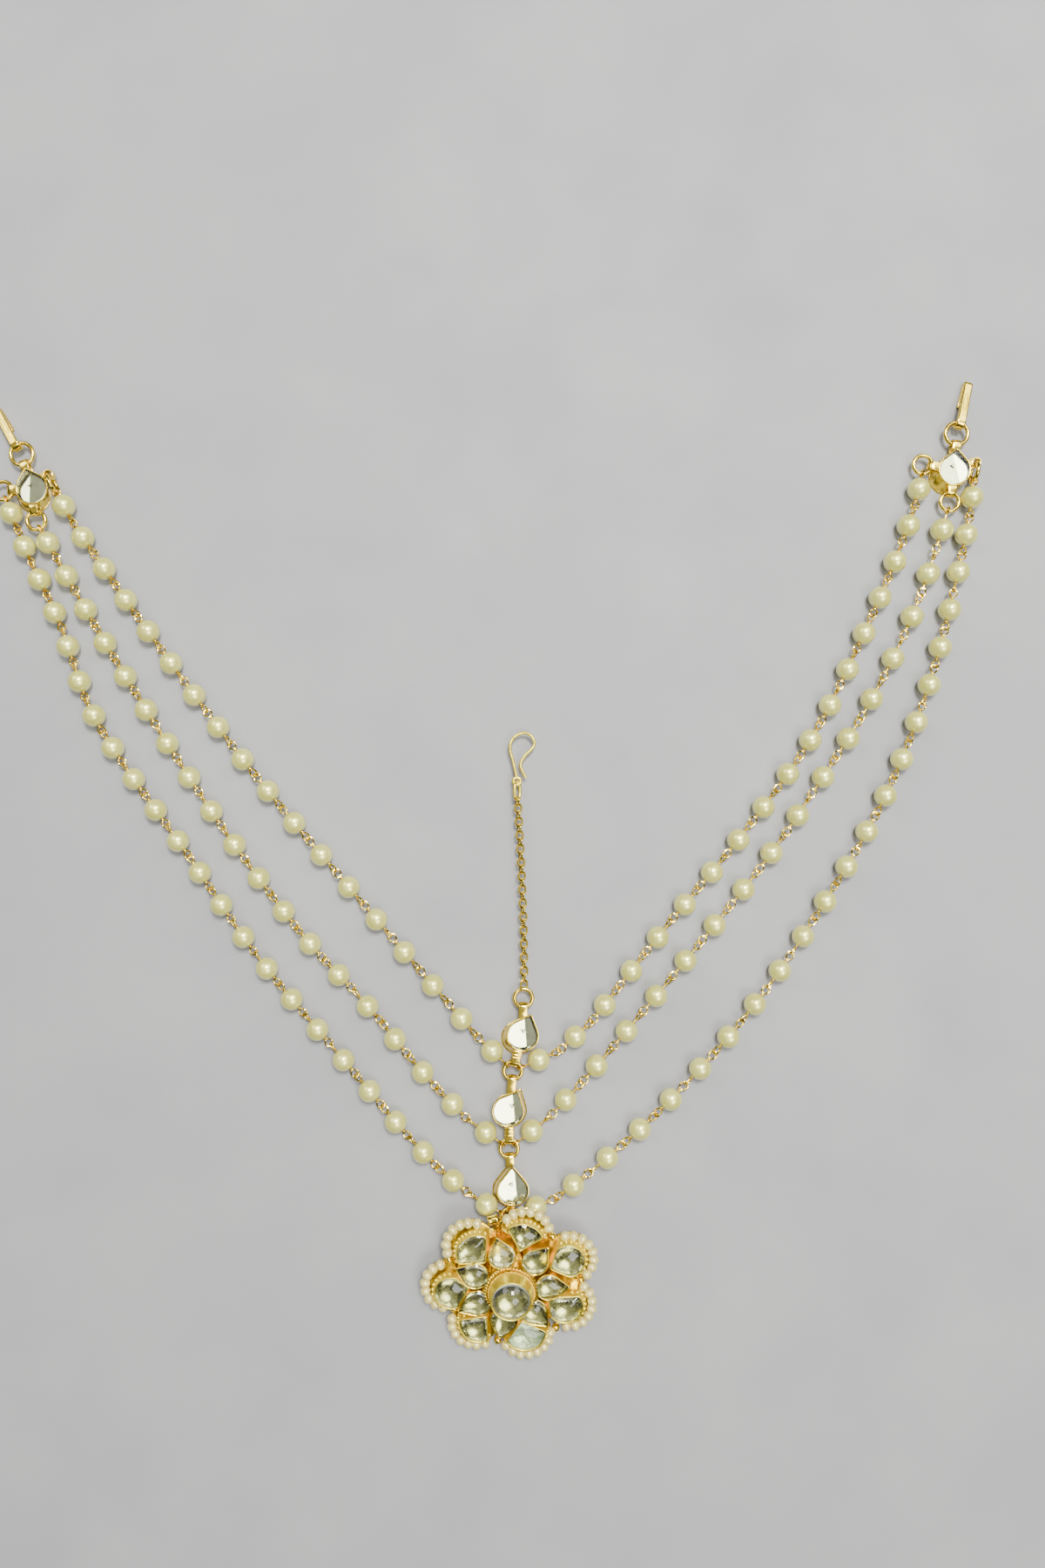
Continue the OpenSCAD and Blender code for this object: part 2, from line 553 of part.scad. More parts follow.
// The soldered flower: plate, boxes, collar, rope ring, gold beads, the bail in its top notch and
// the eye under its edge
module flower_setting() color(GOLD) {
    in_flower() difference() {
        union() {
            linear_extrude(plate_t) {
                circle(r = petal_ring_r);
                for (i = [0 : len(PETALS) - 1]) {
                    at_petal(i) circle(r = petal_plate_r);
                    rotate([0, 0, leaf_direction(i)]) translate([0, -notch_bead_d / 2])
                        square([bead_distance(i), notch_bead_d]);
                }
            }
            for (i = [0 : len(PETALS) - 1]) {
                at_petal(i) linear_extrude(petal_h) polygon(petal_points(i, petal_r));
                at_leaf(i) linear_extrude(leaf_h) polygon(leaf_points(leaf_r));
                rotate([0, 0, leaf_direction(i)]) translate([bead_distance(i), 0, plate_t - bead_sink])
                    if (i < len(PETALS) - 1)
                        translate([0, 0, notch_bead_d / 2]) sphere(d = notch_bead_d, $fn = 48);
                    else
                        translate([0, 0, bail_d / 2]) rotate([90, 0, 0])
                            cylinder(d = bail_d, h = bail_w, center = true);
            }
            cylinder(r = drum_r, h = drum_h);
            translate([0, 0, drum_h - rope_d / 4]) cylinder(r = rope_ring_r, h = rope_d / 2);
            translate([0, 0, drum_h]) torus(rope_ring_r, rope_d);
            translate([0, 0, drum_h]) cylinder(r1 = collar_foot_r, r2 = collar_rim_r, h = collar_h - drum_h);
        }
        for (i = [0 : len(PETALS) - 1]) {
            at_petal(i) translate([0, 0, petal_h - petal_pocket])
                linear_extrude(box_top - petal_h + petal_pocket) polygon(petal_points(i, petal_r - box_wall));
            at_leaf(i) translate([0, 0, leaf_h - petal_pocket])
                linear_extrude(box_top - leaf_h + petal_pocket) polygon(leaf_points(leaf_r - box_wall));
        }
        translate([0, 0, collar_h - collar_pocket]) cylinder(r = collar_rim_r - box_wall, h = collar_h);
    }
    away = dir(EYE_TO_JUNCTION + 180);
    post = FLOWER_EYE + (eye_od / 2 + neck_d / 2 - solder) * away;
    post_foot = link_z - solder;
    translate([FLOWER_EYE.x, FLOWER_EYE.y, link_z])
        rotate([0, 0, heading(away)]) torus(eye_mean_r, eye_wire_d, STANDING);
    translate([post.x, post.y, post_foot])
        cylinder(d = neck_d, h = flower_lift + tan(flower_tilt) * post.y + plate_t / 2 - post_foot);
}

module petal_stone(i) color(STONE) in_flower() at_petal(i)
    domed_stone(petal_r - box_wall - gap, petal_h - petal_pocket + gap, petal_h - stone_sink, petal_dome)
        polygon(petal_points(i, petal_r - box_wall - gap));

module leaf_stone(i) color(STONE) in_flower() at_leaf(i)
    domed_stone(leaf_r * (1 + LEAF_TIP) / 2 - box_wall - gap, leaf_h - petal_pocket + gap,
        leaf_h - stone_sink, petal_dome)
        polygon(leaf_points(leaf_r - box_wall - gap));

module centre_stone() color(STONE) in_flower()
    domed_stone(collar_rim_r - box_wall - gap, collar_h - collar_pocket + gap,
        collar_h - stone_sink, centre_dome)
        circle(r = collar_rim_r - box_wall - gap);

module seed_pearl_rim() color(PEARL) in_flower()
    for (i = [0 : len(PETALS) - 1]) at_petal(i)
        translate([0, 0, plate_t + gap + seed_d / 2]) rotate([0, 0, -seed_row_half])
            rotate_extrude(angle = 2 * seed_row_half) translate([seed_row_r, 0]) circle(d = seed_d, $fn = 40);

crown_hook();
crown_hook_ring();
crown_chain();
chain_ring();
for (i = [0 : len(DROP_NAMES) - 1]) {
    drop_setting(i);
    drop_stone(i);
    junction_ring(i);
}
flower_setting();
centre_stone();
seed_pearl_rim();
for (i = [0 : len(PETALS) - 1]) {
    petal_stone(i);
    leaf_stone(i);
}
for (s = [0 : len(SIDES) - 1]) {
    side_setting(s);
    side_stone(s);
    side_hook(s);
    hook_ring(s);
    for (k = [0 : len(STRAND_NAMES) - 1]) {
        strand_ring(s, k);
        pearls(s, k);
        strand_wires(s, k);
    }
}
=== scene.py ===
# %% [markdown]
# # Dressing a matha patti
# A matha patti is worn over the parting: a flower pendant on the forehead, a column of drops and a
# chain up to a crown hook, and pearl strands out to a hair hook at each side. The solid model already
# holds every size, so this lesson adds what only the eye checks: wire loops, chain links, seed
# pearls, foil under the stones, and the finishes. It starts by loading that model as a fixed frame.

# %% Load the solid model
import json
import math
import random

import bmesh
import bpy
import numpy as np
from mathutils import Matrix, Vector, noise


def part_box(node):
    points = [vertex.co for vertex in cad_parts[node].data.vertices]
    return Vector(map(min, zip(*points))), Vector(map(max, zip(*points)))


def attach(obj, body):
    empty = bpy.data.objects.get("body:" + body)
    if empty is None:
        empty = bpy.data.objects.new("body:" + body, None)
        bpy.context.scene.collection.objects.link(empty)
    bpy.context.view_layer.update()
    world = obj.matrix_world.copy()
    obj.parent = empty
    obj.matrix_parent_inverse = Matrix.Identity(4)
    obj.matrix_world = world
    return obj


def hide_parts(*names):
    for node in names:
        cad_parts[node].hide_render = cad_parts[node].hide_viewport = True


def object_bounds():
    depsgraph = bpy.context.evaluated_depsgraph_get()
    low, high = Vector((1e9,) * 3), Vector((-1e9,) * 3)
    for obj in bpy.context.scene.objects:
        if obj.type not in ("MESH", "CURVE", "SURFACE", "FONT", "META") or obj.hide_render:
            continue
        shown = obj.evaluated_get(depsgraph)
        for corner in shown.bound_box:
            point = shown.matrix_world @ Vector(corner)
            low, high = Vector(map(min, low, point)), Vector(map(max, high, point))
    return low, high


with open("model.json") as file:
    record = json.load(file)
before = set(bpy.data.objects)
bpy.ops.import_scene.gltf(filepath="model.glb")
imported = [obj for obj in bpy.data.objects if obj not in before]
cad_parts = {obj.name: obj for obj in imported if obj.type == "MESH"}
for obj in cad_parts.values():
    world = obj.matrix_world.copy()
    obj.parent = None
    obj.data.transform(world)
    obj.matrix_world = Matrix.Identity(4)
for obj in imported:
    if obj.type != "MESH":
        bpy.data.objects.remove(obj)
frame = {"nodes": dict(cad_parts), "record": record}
cad_low, cad_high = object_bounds()
nodes = frame["nodes"]
MM = 0.001
SIDES = ("left", "right")
STRANDS = ("outer", "middle", "inner")
print("nodes", len(nodes), "size in mm", [round(v / MM, 1) for v in cad_high - cad_low])

# %% [markdown]
# ## The camera
# The photograph looks straight down from about the length of the jewel. A wide lens close to the
# table gives the same lean: tall pieces far from the middle, such as the flower's collar, tip
# outwards. Its place is a real height over the table, so the frame needs no shift.

# %% Camera straight above the table
CAMERA_MIDDLE = (3.0 * MM, 124.5 * MM)
CAMERA_HEIGHT = 275 * MM
CAMERA_LENS_MM, CAMERA_SENSOR_MM = 25, 36
NEAREST_SEEN = 0.01

camera_data = bpy.data.cameras.new("camera")
camera_data.lens = CAMERA_LENS_MM
camera_data.sensor_width = CAMERA_SENSOR_MM
camera_data.clip_start = NEAREST_SEEN
camera = bpy.data.objects.new("camera", camera_data)
camera.location = (*CAMERA_MIDDLE, CAMERA_HEIGHT)
bpy.context.scene.collection.objects.link(camera)
bpy.context.scene.camera = camera
print("camera at", [round(v / MM, 1) for v in camera.location], "mm")

# %% [markdown]
# ## Table and light
# Polished gold and foil show whatever is around them, so the light is most of the finish. A small
# strong soft box beyond the crown hook rounds each pearl and puts a glint beside its middle. A
# broader one on the near side is what the column's stones mirror as a white patch, and one beyond
# each side does the same for the side stones. A dim ceiling gives the gold and foil a middle tone,
# and the rest of the room stays dark.

# %% Pale table and soft boxes
TABLE_SIZE = 4.0
ROOM_COLOUR = (0.5, 0.51, 0.5, 1)
ROOM_STRENGTH = 0.12
# Place and width in metres, and power in watts.
SOFT_BOXES = {
    "key_soft_box": ((0.13, 0.5, 0.95), 0.25, 19.0),
    "near_soft_box": ((0.35, -0.2, 0.95), 0.5, 8.0),
    "right_soft_box": ((0.62, 0.8, 0.95), 0.6, 6.0),
    "left_soft_box": ((-0.74, 0.84, 0.95), 0.6, 6.0),
    "ceiling": ((0.1, 0.0, 1.4), 2.4, 6.0),
}


def link(obj):
    bpy.context.scene.collection.objects.link(obj)
    return obj


def mesh_object(name, bm):
    mesh = bpy.data.meshes.new(name)
    bm.to_mesh(mesh)
    bm.free()
    return link(bpy.data.objects.new(name, mesh))


def socket_values(shader, **values):
    """Constants go straight on the shader's own sockets, where an export finds them."""
    for name, value in values.items():
        shader.inputs[name.replace("_", " ")].default_value = value


world = bpy.data.worlds.new("room")
world.use_nodes = True
bpy.context.scene.world = world
socket_values(world.node_tree.nodes["Background"], Color=ROOM_COLOUR, Strength=ROOM_STRENGTH)

for name, (place, size, power) in SOFT_BOXES.items():
    lamp = bpy.data.lights.new(name, "AREA")
    lamp.size = size
    lamp.energy = power
    lamp_object = link(bpy.data.objects.new(name, lamp))
    lamp_object.location = place
    if name != "ceiling":
        aim = Vector((*CAMERA_MIDDLE, 0)) - Vector(place)
        lamp_object.rotation_euler = aim.to_track_quat("-Z", "Y").to_euler()

bm = bmesh.new()
bmesh.ops.create_grid(bm, x_segments=1, y_segments=1, size=TABLE_SIZE / 2)
bmesh.ops.translate(bm, verts=bm.verts, vec=(*CAMERA_MIDDLE, cad_low.z))
table = mesh_object("table", bm)
print("soft boxes", len(SOFT_BOXES), "table at", round(cad_low.z / MM, 3), "mm")

# %% [markdown]
# ## A small kit for finishes
# Each finish is a Principled shader whose colour, roughness and bump come from noise on Object
# coordinates, in metres. One helper makes them all, so a finish is a short list of numbers: two
# colours, two roughnesses, and the size and depth of its unevenness.

# %% Helper: a finish from noise
TINT_STOPS = (0.35, 0.65)
ROUGHNESS_STOPS = (0.3, 0.7)
ROUGHNESS_GRAIN = 0.6


def finish(name, colours, roughness, grain_mm, bump_mm=0.0, bump_grain_mm=None, **sockets):
    """A material whose colour and roughness each wander between two values."""
    material = bpy.data.materials.new(name)
    material.use_nodes = True
    tree = material.node_tree
    shader = tree.nodes["Principled BSDF"]
    place = tree.nodes.new("ShaderNodeTexCoord")

    def unevenness(size_mm, detail):
        node = tree.nodes.new("ShaderNodeTexNoise")
        node.inputs["Scale"].default_value = 1 / (size_mm * MM)
        node.inputs["Detail"].default_value = detail
        tree.links.new(place.outputs["Object"], node.inputs["Vector"])
        return node.outputs["Fac"]

    tint = tree.nodes.new("ShaderNodeValToRGB")
    for stop, position, colour in zip(tint.color_ramp.elements, TINT_STOPS, colours):
        stop.position = position
        stop.color = (*colour, 1)
    tree.links.new(unevenness(grain_mm, 3), tint.inputs["Fac"])
    tree.links.new(tint.outputs["Color"], shader.inputs["Base Color"])

    spread = tree.nodes.new("ShaderNodeMapRange")
    for end, value in zip(("From Min", "From Max", "To Min", "To Max"), ROUGHNESS_STOPS + roughness):
        spread.inputs[end].default_value = value
    tree.links.new(unevenness(grain_mm * ROUGHNESS_GRAIN, 4), spread.inputs["Value"])
    tree.links.new(spread.outputs["Result"], shader.inputs["Roughness"])

    if bump_mm:
        bump = tree.nodes.new("ShaderNodeBump")
        bump.inputs["Distance"].default_value = bump_mm * MM
        bump.inputs["Strength"].default_value = 1
        tree.links.new(unevenness(bump_grain_mm or grain_mm, 2), bump.inputs["Height"])
        tree.links.new(bump.outputs["Normal"], shader.inputs["Normal"])
    socket_values(shader, **sockets)
    return material


# %% [markdown]
# ## The finishes
# Gold plate on brass is a warm yellow that turns orange where it reflects itself. The flower's boxes
# and the crown hook are softer and paler, as brushed metal is. The plate between the petals is
# hammered, and its gold is painted darker as shade for the valleys. The pearls are coated beads, cream
# with a green cast, under a thin clear coat.
# The stones are clear glass over silver foil, and the foil does the sparkling.

# %% Gold, pearl, glass and foil
table_finish = finish("table_finish", ((0.28, 0.28, 0.28), (0.31, 0.31, 0.305)), (0.6, 0.75), 40)
gold = finish("gold_plate", ((0.88, 0.62, 0.06), (0.97, 0.74, 0.11)), (0.12, 0.22), 2.2,
              bump_mm=0.03, bump_grain_mm=0.9, Metallic=1.0)
satin_gold = finish("satin_gold", ((0.93, 0.72, 0.06), (0.99, 0.82, 0.12)), (0.30, 0.42), 1.4,
                    bump_mm=0.05, bump_grain_mm=0.7, Metallic=1.0)
# Painted shade: the plate between the petals is a darker copy of the gold, standing in for the shade in
# the valleys. Its hammered bump is real.
valley_gold_painted_shade = finish("valley_gold_painted_shade", ((0.70, 0.48, 0.02), (0.85, 0.65, 0.06)), (0.16, 0.30), 1.3,
                     bump_mm=0.14, bump_grain_mm=0.8, Metallic=1.0)
wire_gold = finish("gold_wire", ((0.90, 0.60, 0.05), (0.98, 0.73, 0.10)), (0.12, 0.22), 1.5,
                   bump_mm=0.01, Metallic=1.0)
pearl = finish("pearl_coat", ((0.70, 0.67, 0.15), (0.80, 0.77, 0.22)), (0.30, 0.38), 3.0,
               bump_mm=0.006, bump_grain_mm=0.5, Metallic=0.4, Coat_Weight=1.0, Coat_Roughness=0.1,
               Coat_IOR=1.65, Specular_IOR_Level=0.8)
seed_pearl = finish("seed_pearl_coat", ((0.66, 0.54, 0.15), (0.80, 0.70, 0.26)), (0.26, 0.38), 1.0,
                    bump_mm=0.03, bump_grain_mm=0.5, Metallic=0.2, Coat_Weight=1.0, Coat_Roughness=0.1,
                    Coat_IOR=1.6)
clear_stone = finish("clear_stone", ((0.92, 0.95, 0.76), (0.96, 0.98, 0.85)), (0.0, 0.02), 2.0,
                     bump_mm=0.01, bump_grain_mm=1.4, Transmission_Weight=1.0, IOR=1.5)
silver_foil = finish("silver_foil", ((0.56, 0.52, 0.22), (0.70, 0.67, 0.36)), (0.20, 0.34), 1.2,
                     bump_mm=0.03, bump_grain_mm=1.1, Metallic=1.0)
bright_foil = finish("bright_foil", ((0.88, 0.88, 0.72), (0.96, 0.96, 0.84)), (0.08, 0.16), 1.6,
                     bump_mm=0.003, bump_grain_mm=1.8, Metallic=1.0)
gilt_foil = finish("gilt_foil", ((0.92, 0.80, 0.42), (0.96, 0.92, 0.68)), (0.2, 0.36), 1.0,
                   bump_mm=0.1, bump_grain_mm=0.7, Metallic=1.0)
cracked_foil = finish("cracked_foil", ((0.62, 0.76, 0.54), (0.80, 0.90, 0.72)), (0.3, 0.5), 0.7,
                      bump_mm=0.25, bump_grain_mm=0.9, Metallic=0.7)
table.data.materials.append(table_finish)
print("finishes", len(bpy.data.materials))

# %% [markdown]
# ## Paint the solid pieces
# The rings, hooks and settings already have their true shape, so they only need their finish. The
# record says which slot each node belongs to, and a small table turns a slot into a material.

# %% Give each solid node its finish
SLOT_FINISH = {
    "gold": gold,
    "gold_wire": wire_gold,
    "pearl": pearl,
    "seed_pearl": seed_pearl,
    "domed_stone": clear_stone,
    "cut_stone": clear_stone,
}
slot_of = {row["node"]: row["material_slot"] for row in frame["record"]["subparts"]}
for name, node in nodes.items():
    node.data.materials.clear()
    node.data.materials.append(satin_gold if name == "crown_hook" else SLOT_FINISH[slot_of[name]])
print("painted", len(nodes))

# %% [markdown]
# ## Where the strands run
# The solid model knows where every pearl lies. Each pearl's wire is a separate small solid in the
# frame, so its middle, its direction and the way its two loops face can be measured from its
# vertices. Nothing about the strands is typed in again here.

# %% Measure each pearl's wire
LOOP_MEAN_R = 0.95
WIRE_D = 0.5
SAME_CORNER = 1e-7


def islands(node):
    """The vertices of each separate solid of a node, in millimetres."""
    bm = bmesh.new()
    bm.from_mesh(node.data)
    bmesh.ops.remove_doubles(bm, verts=bm.verts, dist=SAME_CORNER)
    unseen = dict.fromkeys(bm.verts)
    found = []
    while unseen:
        todo = [unseen.popitem()[0]]
        solid = []
        while todo:
            v = todo.pop()
            solid.append(v.co / MM)
            for edge in v.link_edges:
                other = edge.other_vert(v)
                if other in unseen:
                    del unseen[other]
                    todo.append(other)
        found.append(np.array(solid))
    bm.free()
    return found


def measure_pin(points):
    """Middle, heading and half-length of a pin, its height, and whether each end's loop stands up."""
    low, high = points.min(0), points.max(0)
    flat = points[:, :2] - points[:, :2].mean(0)
    _, axes = np.linalg.eigh(flat.T @ flat)
    way = axes[:, 1]
    along = flat @ way
    middle = points[:, :2].mean(0) + way * (along.min() + along.max()) / 2
    half = (along.max() - along.min()) / 2
    ends = [points[along < along.min() + LOOP_MEAN_R], points[along > along.max() - LOOP_MEAN_R]]
    standing = [bool(np.ptp(end[:, 2]) > LOOP_MEAN_R) for end in ends]
    return middle, way, half, (low[2] + high[2]) / 2, standing


pins = {}
for side in SIDES:
    for strand in STRANDS:
        solids = islands(nodes[f"wires_{side}_{strand}"])
        pins[side, strand] = sorted((measure_pin(s) for s in solids), key=lambda pin: pin[0][1])
print("pins", {key: len(row) for key, row in pins.items()})

# %% [markdown]
# ## A small kit for wire
# Half of this jewel is bent wire. A ring is a small circle spun once round an axis, and a wound neck
# is the same circle spun several times with a step sideways. Both are made in millimetres. The
# edges are taken in a fixed order, so that every run gives the same mesh.


# %% Helper: rings and coils
def edges_at(corners):
    """The edges at some corners, each once, in the corners' own order."""
    return list(dict.fromkeys(e for v in corners for e in v.link_edges))


def bent_ring(bm, radius, wire, steps, sides):
    """A ring of round wire about Z."""
    lay = Matrix.Translation((radius, 0, 0)) @ Matrix.Rotation(math.pi / 2, 4, "X")
    start = bmesh.ops.create_circle(bm, segments=sides, radius=wire / 2, matrix=lay)["verts"]
    bmesh.ops.spin(bm, geom=start + edges_at(start), axis=(0, 0, 1), cent=(0, 0, 0), angle=math.tau,
                   steps=steps, use_merge=True)


def coil(bm, radius, wire, pitch, turns, steps, sides):
    """A wire wound about X from the middle outwards. Steps are those of one turn."""
    lay = Matrix.Translation((0, radius, 0)) @ Matrix.Rotation(math.pi / 2, 4, "Y")
    start = bmesh.ops.create_circle(bm, segments=sides, radius=wire / 2, matrix=lay)["verts"]
    bmesh.ops.spin(bm, geom=start + edges_at(start), axis=(1, 0, 0), cent=(0, 0, 0),
                   angle=math.tau * turns, steps=round(steps * turns), dvec=(pitch / steps, 0, 0))
    bmesh.ops.holes_fill(bm, edges=[e for e in bm.edges if e.is_boundary], sides=0)


print("wire kit ready")

# %% [markdown]
# ## One shape, set many times
# Pearls, loops, links and grains are each built once as a small mesh. A stamp copies that mesh into
# a growing piece, turned and placed by a few matrices. A finished piece is brought to metres and
# into its place in its mesh, so its object stays at the origin and its pattern never slides.


# %% Helper: shapes, places, stamps and finished pieces
def shape(build, *args, **more):
    """Builds a small shape once, as a mesh to set many times."""
    bm = bmesh.new()
    build(bm, *args, **more)
    bmesh.ops.recalc_face_normals(bm, faces=bm.faces)
    mesh = bpy.data.meshes.new("shape")
    bm.to_mesh(mesh)
    bm.free()
    return mesh


def at(x, y, z=0.0, degrees=0.0):
    """A place, turned about Z."""
    return Matrix.Translation((x, y, z)) @ Matrix.Rotation(math.radians(degrees), 4, "Z")


def roll(radians=math.pi / 2):
    """A turn about X. A quarter turn stands a flat ring up."""
    return Matrix.Rotation(radians, 4, "X")


def stretch(x, y, z):
    return Matrix.Diagonal((x, y, z, 1))


AS_IS = Matrix.Identity(4)


def stamp(bm, mesh, *turns):
    """Sets a shape in place. The turns are read from left to right, the last one first."""
    matrix = AS_IS
    for turn in turns:
        matrix = matrix @ turn
    count = len(bm.verts)
    bm.from_mesh(mesh)
    bm.verts.ensure_lookup_table()
    bmesh.ops.transform(bm, matrix=matrix, verts=bm.verts[count:])


def piece(name, bm, material, matrix=AS_IS, stands_for=(), sharp=50):
    """Turns millimetres into a placed, shaded piece that rides on the jewel."""
    bmesh.ops.transform(bm, matrix=Matrix.Scale(MM, 4) @ matrix, verts=bm.verts)
    bmesh.ops.recalc_face_normals(bm, faces=bm.faces)
    for face in bm.faces:
        face.smooth = True
    made = mesh_object(name, bm)
    made.data.set_sharp_from_angle(angle=math.radians(sharp))
    made.data.materials.append(material)
    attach(made, "root")
    if stands_for:
        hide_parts(*stands_for)
    return made


print("stamp kit ready")

# %% [markdown]
# ## A pearl and its eye pin
# Each pearl is strung on its own short wire. The wire ends are bent into a loop through the next
# loop and wound once or twice round their own stem. The loops are a little narrower than long,
# except those that hold a thick ring. A pearl is a ball with its drill hole sunk in at both ends.

# %% Shapes of a pearl, its loops and its necks
PEARL_R, HOLE_FROM, HOLE_SINK = 2.85, 0.99, 0.86
LOOP_SQUASH, LOOP_FLARE = 0.95, 0.12
NECK_WIRE_D, NECK_PITCH, NECK_TURNS, NECK_BITE = 0.3, 0.3, (1.2, 1.7, 2.2), 0.35
LOOP_MESH = {"steps": 20, "sides": 7}


def pearl_ball(bm):
    made = bmesh.ops.create_uvsphere(bm, u_segments=22, v_segments=14, radius=PEARL_R,
                                     matrix=Matrix.Rotation(math.pi / 2, 4, "Y"))["verts"]
    for v in made:
        if abs(v.co.x) > HOLE_FROM * PEARL_R:
            v.co.x *= HOLE_SINK


def long_loop(bm):
    bent_ring(bm, LOOP_MEAN_R, WIRE_D, **LOOP_MESH)
    for v in bm.verts:
        v.co.y *= LOOP_SQUASH + LOOP_FLARE * v.co.x / LOOP_MEAN_R


def stem(bm, length):
    bmesh.ops.create_cone(bm, cap_ends=True, segments=8, radius1=WIRE_D / 2, radius2=WIRE_D / 2,
                          depth=length, matrix=Matrix.Rotation(math.pi / 2, 4, "Y"))


pearl_shape = shape(pearl_ball)
long_loop_shape = shape(long_loop)
round_loop_shape = shape(bent_ring, LOOP_MEAN_R, WIRE_D, **LOOP_MESH)
stem_shape = shape(stem, 1.0)
neck_shapes = [shape(coil, WIRE_D / 2 + NECK_WIRE_D * NECK_BITE, NECK_WIRE_D, NECK_PITCH, turns,
                     steps=9, sides=6) for turns in NECK_TURNS]
print("corners of a pearl", len(pearl_shape.vertices), "of a loop", len(long_loop_shape.vertices))

# %% [markdown]
# ## The six strands
# Every pearl gets its own small luck: its size, how it is turned, how its loops lean and how often
# its necks are wound. A loop that meets another one is drawn long, and the last loop of a strand
# stays round, because it holds a thick ring.

# %% Pearls, loops and wound necks in place
PEARL_LIFT, WIRE_LIFT = 0.35, 0.2
LOOP_LENGTH, SHORTEST_NECK, NECK_SINK = 2.9, 0.15, 0.1
STANDING_LEAN, FLAT_LEAN = (0.45, 0.8), (-0.35, 0.35)
PEARL_SIZES, PEARL_OVALS, STRAND_SEED = (0.985, 1.0), (0.99, 1.0), 4

luck = random.Random(STRAND_SEED)
for (side, strand), row in pins.items():
    balls, wires = bmesh.new(), bmesh.new()
    eyes = [middle + end * (half - LOOP_MEAN_R - WIRE_D / 2) * way
            for middle, way, half, _, _ in row for end in (-1, 1)]
    for n, (middle, way, half, z, standing) in enumerate(row):
        here = at(*middle, z, math.degrees(math.atan2(way[1], way[0])))
        size = luck.uniform(*PEARL_SIZES)
        stamp(balls, pearl_shape, at(0, 0, PEARL_LIFT), here, roll(luck.uniform(0, math.tau)),
              stretch(size, size * luck.uniform(*PEARL_OVALS), size))
        here = at(0, 0, WIRE_LIFT) @ here
        eye_x = half - LOOP_MEAN_R - WIRE_D / 2
        stamp(wires, stem_shape, here, stretch(2 * (eye_x - LOOP_MEAN_R), 1, 1))
        for end, up in enumerate(standing):
            eye = eyes[2 * n + end]
            links_on = sum(math.dist(eye, other) < 2 * LOOP_MEAN_R for other in eyes) > 1
            outwards = at(0, 0, 0, 180 * (1 - end))
            lean = luck.choice((-1, 1)) * luck.uniform(*STANDING_LEAN) if up else luck.uniform(*FLAT_LEAN)
            turn = roll() if up else AS_IS
            if links_on:
                length = min(LOOP_LENGTH, half - PEARL_R - SHORTEST_NECK)
                lengthen = stretch(length / (2 * LOOP_MEAN_R + WIRE_D), 1, 1)
                stamp(wires, long_loop_shape, here, outwards, at(half - length / 2, 0), roll(lean),
                      turn, lengthen)
            else:
                stamp(wires, round_loop_shape, here, outwards, at(eye_x, 0), turn)
            stamp(wires, luck.choice(neck_shapes), here, outwards, at(PEARL_R - NECK_SINK, 0),
                  roll(luck.uniform(0, math.tau)))
    piece(f"strung_pearls_{side}_{strand}", balls, pearl,
          stands_for=[f"pearls_{side}_{strand}"])
    piece(f"eye_pins_{side}_{strand}", wires, wire_gold,
          stands_for=[f"wires_{side}_{strand}"])
print("pearls", sum(len(row) for row in pins.values()))

# %% [markdown]
# ## The jump ring under the crown hook
# The chain hangs from an oval jump ring that lies half on its side. An oval is a round ring whose
# two halves are pulled apart, which keeps its wire round. It takes its place from the solid ring.

# %% Oval jump ring
OVAL_LONG, OVAL_WIDE, OVAL_WIRE_D, OVAL_LEAN, OVAL_SIDESTEP = 5.2, 3.4, 0.8, 60, 0.1


def pull_apart(bm, axis, by, steepness):
    """Makes a round ring oval along an axis. Only what lies near the middle is stretched."""
    for v in bm.verts:
        v.co[axis] += math.copysign(min(1, abs(v.co[axis]) * steepness), v.co[axis]) * by / 2


low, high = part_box("crown_hook_ring")
oval_top = high.y / MM
oval_middle = ((low.x + high.x) / 2 / MM + OVAL_SIDESTEP, oval_top - OVAL_LONG / 2,
               (low.z + high.z) / 2 / MM)
oval = bmesh.new()
bent_ring(oval, (OVAL_WIDE - OVAL_WIRE_D) / 2, OVAL_WIRE_D, steps=36, sides=12)
pull_apart(oval, 1, OVAL_LONG - OVAL_WIDE, 2)
piece("crown_jump_ring", oval, satin_gold,
      at(*oval_middle) @ Matrix.Rotation(math.radians(OVAL_LEAN), 4, "Y"), stands_for=["crown_hook_ring"])
print("jump ring at", [round(v, 2) for v in oval_middle])

# %% [markdown]
# ## The crown chain
# A rolo chain is a row of plain links, each turned a quarter against the last. The solid model
# keeps a tube where it runs, so the chain's line is a curve fitted to that tube, from the ring on
# the upper drop to the lower end of the jump ring.

# %% Links along the chain
LINK_PITCH, LINK_LONG, LINK_WIDE, LINK_WIRE_D, LINK_ROLL = 1.68, 2.8, 2.3, 0.55, 20
CHAIN_END_GAP = 0.55


def chain_link(bm):
    bent_ring(bm, (LINK_WIDE - LINK_WIRE_D) / 2, LINK_WIRE_D, steps=20, sides=6)
    pull_apart(bm, 0, LINK_LONG - LINK_WIDE, 4)


